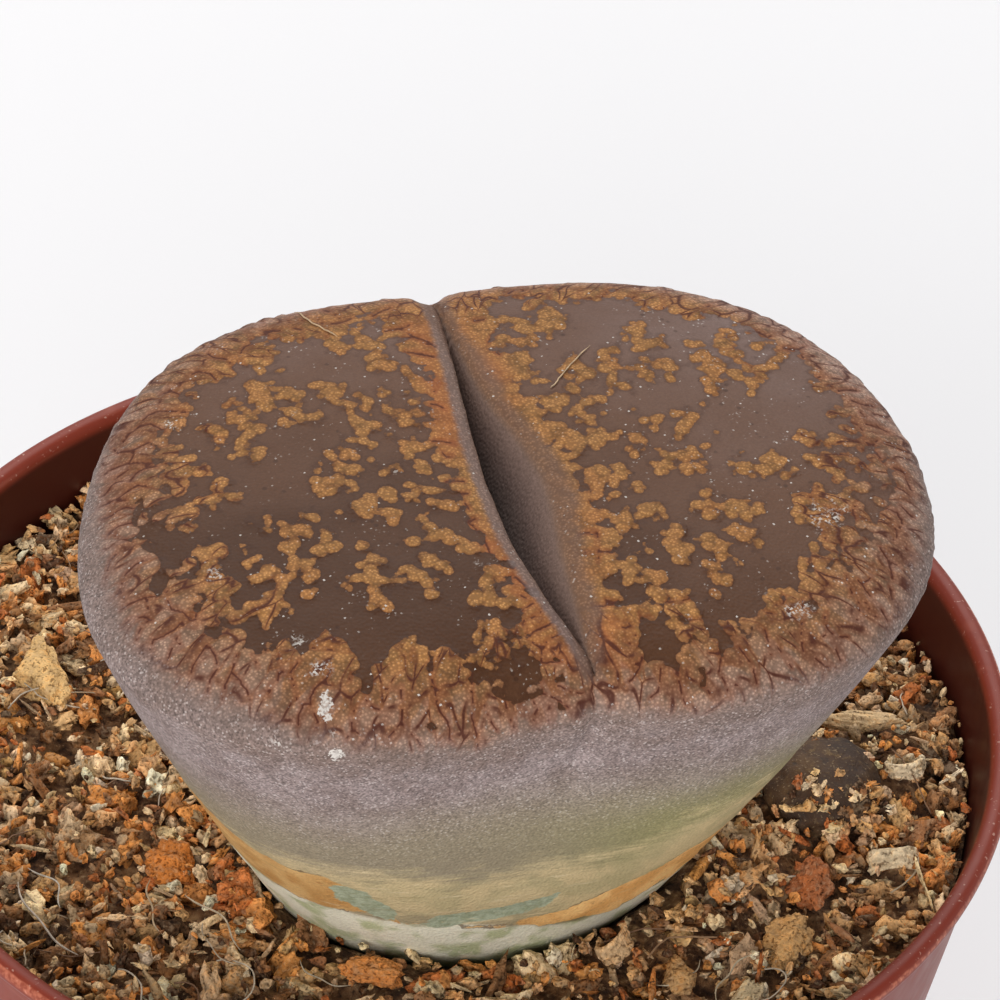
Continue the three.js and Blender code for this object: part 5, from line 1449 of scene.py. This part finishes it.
# ------------------------------------------------------------------ dark stone
v, f = BALLS[5]
v = v.copy()
sr = np.random.default_rng(9)
for _ in range(5):
    d = sr.normal(size=3); d /= np.linalg.norm(d)
    over = np.maximum(v @ d - sr.uniform(0.72, 0.92), 0)
    v -= 0.8 * over[:, None] * d
n = 0.10 * fbm(v * 1.4 + 4, 3, 61) + 0.035 * fbm(v * 6, 3, 62) + 0.014 * fbm(v * 18, 2, 63)
v = v * (1 + n)[:, None]
v = turn_z(v / np.abs(v).max(0) * [2.95, 3.1, 1.9], 0.15) + [18.6, -0.9, mix_level(18.6, -0.9) + 0.5]
g = Graph("dark_stone")
n1, n2, n3 = g.noise(380, 3, 0.6), g.noise(1900, 3, 0.65), g.noise(6500, 1, 0.6)
col = g.ramp(n1, [(0.32, lin((52, 35, 23))), (0.5, lin((74, 52, 34))), (0.66, lin((102, 76, 48)))])
col = g.mix(g.mul(g.step(n2, 0.55, 0.72), 0.6), col, lin((138, 112, 74)))
col = g.mix(g.mul(g.step(n3, 0.62, 0.74), 0.5), col, lin((172, 152, 118)))
col = g.mix(g.mul(g.step(n2, 0.42, 0.30), 0.7), col, lin((38, 27, 21)))
g.set(Base_Color=col, Roughness=g.mad(n2, 0.25, 0.62), Normal=g.bump(g.add(n2, g.mul(n3, 0.5)), 0.00012, 0.9))
ob = new_object("dark_stone_look", v, f, g.mat)
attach(ob, "root"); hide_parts("dark_stone")

# crumbs lying on and against the stone
cr = np.random.default_rng(31)
cn = 104
ca, cd = cr.uniform(0, 2 * np.pi, cn), np.sqrt(cr.uniform(0.05, 1.25, cn))
ca[:62] = cr.uniform(np.radians(225), np.radians(350), 62)
cd[:62] = np.sqrt(cr.uniform(0.35, 1.35, 62))
cs_ = cr.uniform(0.14, 0.42, cn) * np.where(np.arange(cn) < 62, 1.25, 0.8)
RELIEF_SHADING.clear()
cvv, cff = chunks(cn, 3, cr, np.stack([cs_ * cr.uniform(1, 1.5, cn), cs_ * cr.uniform(0.6, 1, cn), cs_ * cr.uniform(0.45, 0.85, cn)], -1), rough=0.6)
cvv = np.einsum("nij,nvj->nvi", rotations(cn, cr, 0.8), cvv)
cx, cy = 18.6 + 2.95 * cd * np.cos(ca), -0.9 + 3.1 * cd * np.sin(ca)
cz = mix_level(cx, cy) + 0.5 + np.where(cd < 1, 1.9 * np.sqrt(np.clip(1 - cd ** 2, 0, 1)) * 0.86, 0.25) + cs_ * 0.25
keep = np.hypot(cx - BODY_AT[0], cy - BODY_AT[1]) > leaf_radius(np.arctan2(cy - BODY_AT[1], cx - BODY_AT[0]), cz) + cs_ * 1.3 + 0.1
keep &= np.hypot(cx, cy) < 25.4
cvv = (cvv + np.stack([cx, cy, cz], -1)[:, None, :])[keep]
RELIEF_SHADING[0] = RELIEF_SHADING[0][keep]
tint_c = pick_colours(cn, cx, cy, cr)[keep]
v, f, a = merged([(cvv, cff, tint_c)])
ob = new_object("crumbs_on_stone", v, f, bark_mat, dict(tint=a))
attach(ob, "root")

# ------------------------------------------------------------------ pot
prof = [(0, 1.2), (8, 1.2), (15.8, 1.2), (16.05, 1.1), (16.3, 0.25), (16.5, 0.04), (16.8, 0), (18.7, 0), (19.05, 0.04), (19.3, 0.2), (19.55, 0.5)]
for z in np.linspace(3, 46.5, 30):
    prof.append((wall_at(z), z))
prof += [(WALL_TOP - 0.08, 47.6), (WALL_TOP - 0.02, 47.95), (27.10, 48.06), (27.32, 48.12), (27.46, 48.24), (27.5, 48.42), (27.49, 48.60), (27.43, 48.78), (27.30, 48.92), (27.12, 48.99), (26.95, 49.0),
         (26.80, 48.97), (26.66, 48.88), (26.55, 48.72), (26.46, 48.45), (26.38, 48.1), (WALL_TOP - WALL_T - 0.03, 47.6)]
for z in np.linspace(46.5, 3.4, 26):
    prof.append((wall_at(z) - WALL_T, z))
prof += [(wall_at(2.7) - WALL_T - 0.15, 2.75), (wall_at(2.4) - WALL_T - 0.45, 2.3), (wall_at(2.4) - WALL_T - 0.9, 2.1), (10, 2.1), (0, 2.1)]
prof = np.array(prof)
NS = 288
ta = np.arange(NS) / NS * 2 * np.pi
ringsV = []
for r, z in prof[1:-1]:
    wob = 0.06 * np.sin(2 * ta + 0.7) * (z / 49) + 0.03 * np.sin(5 * ta)* (z / 49)
    rr = r + (wob if r > 17 else 0)
    ringsV.append(np.stack([rr * np.cos(ta), rr * np.sin(ta), np.full(NS, z)], -1))
potV = np.concatenate([[[0, 0, 1.2]], *ringsV, [[0, 0, 2.1]]])
j = np.arange(NS); k = (j + 1) % NS
F = [np.stack([np.zeros(NS, int), 1 + k, 1 + j], -1)]
for i in range(len(ringsV) - 1):
    a, b = 1 + i * NS, 1 + (i + 1) * NS
    F += [np.stack([a + j, a + k, b + k], -1), np.stack([a + j, b + k, b + j], -1)]
a = 1 + (len(ringsV) - 1) * NS
F.append(np.stack([a + j, a + k, np.full(NS, len(potV) - 1)], -1))
g = Graph("pot_plastic")
n1, n2, n3 = g.noise(60, 1, 0.5), g.noise(700, 1, 0.6), g.noise(4200, 1, 0.6)
col = g.mix(g.step(n1, 0.3, 0.7), lin((126, 45, 27)), lin((140, 56, 35)))
col = g.mix(g.mul(g.step(n2, 0.58, 0.8), 0.22), col, lin((176, 104, 84)))
# scuffs round the lip and fine rub marks that run round the wall
sep = g.t.nodes.new("ShaderNodeSeparateXYZ")
g.t.links.new(g.pos, sep.inputs[0])
lip_zone = g.step(sep.outputs[2], 0.0478, 0.0486)
rub = g.noise(1.0, 1, 0.6, vec=g.vmul(g.pos, (160.0, 160.0, 2600.0)))
col = g.mix(g.mul(g.step(rub, 0.60, 0.78), 0.22), col, lin((186, 120, 100)))
col = g.mix(g.mul(g.mul(lip_zone, g.step(n3, 0.66, 0.78)), 0.5), col, lin((214, 176, 158)))
dust = g.mul(g.step(g.noise(1500, 1, 0.7), 0.55, 0.72), g.step(sep.outputs[2], 0.0475, 0.0455, 0.05, 0.35))
col = g.mix(g.mul(dust, 0.6), col, lin((112, 74, 52)))
rad = g.math("SQRT", g.add(g.mul(sep.outputs[0], sep.outputs[0]), g.mul(sep.outputs[1], sep.outputs[1])))
# painted highlight: a pale line along the lip's outer edge
edge = g.add(rad, g.mul(g.sub(n2, 0.5), 0.00012))
painted_lip_highlight = g.mul(g.step(edge, 0.02737, 0.02744), g.step(sep.outputs[2], 0.04840, 0.0486))
col = g.mix(g.mul(painted_lip_highlight, g.step(n3, 0.35, 0.65, 0.15, 0.60)), col, lin((212, 128, 98)))
within = g.sub(rad, g.mad(sep.outputs[2], 0.15567, 0.01919))          # negative on the inner face of the wall
# inner face of the wall painted much darker: painted shade
inner = g.mul(g.step(within, 0.0001, -0.0001), g.step(sep.outputs[2], 0.0487, 0.0482))
col = g.mix(g.mul(inner, g.step(sep.outputs[2], 0.030, 0.040)), col, lin((66, 23, 14)))
g.set(Base_Color=col, Roughness=g.mad(n2, 0.22, 0.32), Normal=g.bump(n2, 0.00002, 0.5))
g.bsdf.inputs["Specular IOR Level"].default_value = 0.28
pot = new_object("pot_shell", potV, np.concatenate(F), None)
cut_v, cut_f, o = [], [], 0


def add_cut(v, f):
    global o
    cut_v.append(v); cut_f.append(f + o); o += len(v)


def rod(x, y, r, z0, z1, n=40):
    a = np.arange(n) / n * 2 * np.pi
    v = np.concatenate([np.stack([x + r * np.cos(a), y + r * np.sin(a), np.full(n, z)], -1) for z in (z0, z1)] + [[[x, y, z0], [x, y, z1]]])
    j = np.arange(n); k = (j + 1) % n
    return v, np.concatenate([np.stack([j, k, n + k], -1), np.stack([j, n + k, n + j], -1), np.stack([np.full(n, 2 * n), k, j], -1), np.stack([np.full(n, 2 * n + 1), n + j, n + k], -1)])


add_cut(*rod(0, 0, 2.4, -1, 5))
for i in range(4):
    a = math.pi / 4 + i * math.pi / 2
    add_cut(*rod(11 * math.cos(a), 11 * math.sin(a), 2.4, -1, 5))
    bx = np.array([[x, y, z] for z in (-0.8, 0.8) for y in (-1.6, 1.6) for x in (-4, 4)], float)
    bx = turn_z(bx, a) + [18.2 * math.cos(a), 18.2 * math.sin(a), 0]
    add_cut(bx, np.array([[0, 2, 3], [0, 3, 1], [4, 5, 7], [4, 7, 6], [0, 1, 5], [0, 5, 4], [2, 6, 7], [2, 7, 3], [0, 4, 6], [0, 6, 2], [1, 3, 7], [1, 7, 5]]))
cutter = new_object("pot_cutter", np.concatenate(cut_v), np.concatenate(cut_f), None)
md = pot.modifiers.new("holes", "BOOLEAN")
md.operation, md.solver, md.object = "DIFFERENCE", "EXACT", cutter
bpy.context.view_layer.update()
dg = bpy.context.evaluated_depsgraph_get()
me = bpy.data.meshes.new_from_object(pot.evaluated_get(dg))
pot.modifiers.clear()
pot.data = me
bpy.data.objects.remove(cutter)
me.materials.clear(); me.materials.append(g.mat)
for p in me.polygons:
    p.use_smooth = True
    p.material_index = 0
me.set_sharp_from_angle(angle=math.radians(38))
print("pot faces", len(me.polygons))
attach(pot, "root"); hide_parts("pot")

# ------------------------------------------------------------------ two stray hairs on the leaves
for nm, (x1, y1), (x2, y2), bow, seed in (("leaf_hair_right", (550, 386), (590, 346), 5.0, 3), ("leaf_hair_left", (295, 311), (337, 336), 3.0, 4)):
    t = np.linspace(0, 1, 30)
    hx = x1 + (x2 - x1) * t + bow * np.sin(t * math.pi) * (y2 - y1) / 40
    hy = y1 + (y2 - y1) * t + bow * np.sin(t * math.pi * 1.2) * 0.6
    path = []
    ptop = V[W_all < 0.05]
    qx_, qy_ = front_view(ptop)
    dep = (EYE - ptop) @ BACK
    for a_, b_ in zip(hx, hy):
        d2 = (qx_ - a_) ** 2 + (qy_ - b_) ** 2
        near = np.argsort(d2)[:6]
        m = near[np.argmin(dep[near])]
        path.append(ptop[m] + [0, 0, 0.07])
    path = np.array(path)
    for _ in range(3):
        path[1:-1] = (path[:-2] + 2 * path[1:-1] + path[2:]) / 4
    v, f = tube(path, 0.035 * np.clip(np.minimum(t, 1 - t) * 10, 0.4, 1), 8)
    ob = new_object(nm, v, f, fibre_mat, dict(tint=np.repeat([list(lin((196, 168, 132))[:3]) + [0.5]], len(v), 0)))
    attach(ob, "root")

# ------------------------------------------------------------------ stage
g = Graph("pale_floor")
n = g.noise(9, 0, 0.5)
g.set(Base_Color=g.mix(n, lin((240, 240, 241)), lin((243, 243, 244))), Roughness=0.9)
g.bsdf.inputs["Specular IOR Level"].default_value = 0.1
me = bpy.data.meshes.new("floor")
me.from_pydata([(-3, -3, 0), (3, -3, 0), (3, 3, 0), (-3, 3, 0)], [], [(0, 1, 2, 3)])
floor = bpy.data.objects.new("floor", me)
scene.collection.objects.link(floor)
me.materials.append(g.mat)

world = bpy.data.worlds.new("world")
scene.world = world
world.use_nodes = True
wt = world.node_tree
bg = wt.nodes["Background"]
tc = wt.nodes.new("ShaderNodeTexCoord")
sx = wt.nodes.new("ShaderNodeSeparateXYZ")
wt.links.new(tc.outputs["Generated"], sx.inputs[0])
wr = wt.nodes.new("ShaderNodeValToRGB")
wr.color_ramp.elements.new(0.5)
for e, (p_, c_) in zip(wr.color_ramp.elements, [(0.0, (0.80, 0.795, 0.80, 1)), (0.35, (0.62, 0.61, 0.62, 1)), (0.75, (0.30, 0.30, 0.31, 1))]):
    e.position, e.color = p_, c_
wt.links.new(sx.outputs[2], wr.inputs[0])
wt.links.new(wr.outputs[0], bg.inputs[0])
bg.inputs[1].default_value = 1.0


def area(name, loc, target, size, power, colour=(1, 1, 1)):
    L = bpy.data.lights.new(name, "AREA")
    L.shape = "RECTANGLE"
    L.size, L.size_y = size
    L.energy = power
    L.color = colour
    ob = bpy.data.objects.new(name, L)
    scene.collection.objects.link(ob)
    ob.location = loc
    ob.rotation_euler = (Vector(target) - Vector(loc)).to_track_quat("-Z", "Y").to_euler()
    return ob


# soft studio light: later bounces add almost nothing on matt skin and bark
scene.cycles.max_bounces = 3
scene.cycles.diffuse_bounces = 2
scene.cycles.glossy_bounces = 1
scene.cycles.transmission_bounces = 0

area("top_softbox", (-0.03, 0.30, 0.42), (0, 0.03, 0.03), (0.5, 0.4), 1.75, (1, 0.99, 0.98))
area("front_fill", (-0.12, -0.50, 0.24), (0, 0, 0.055), (0.45, 0.35), 1.9, (1, 0.985, 0.975))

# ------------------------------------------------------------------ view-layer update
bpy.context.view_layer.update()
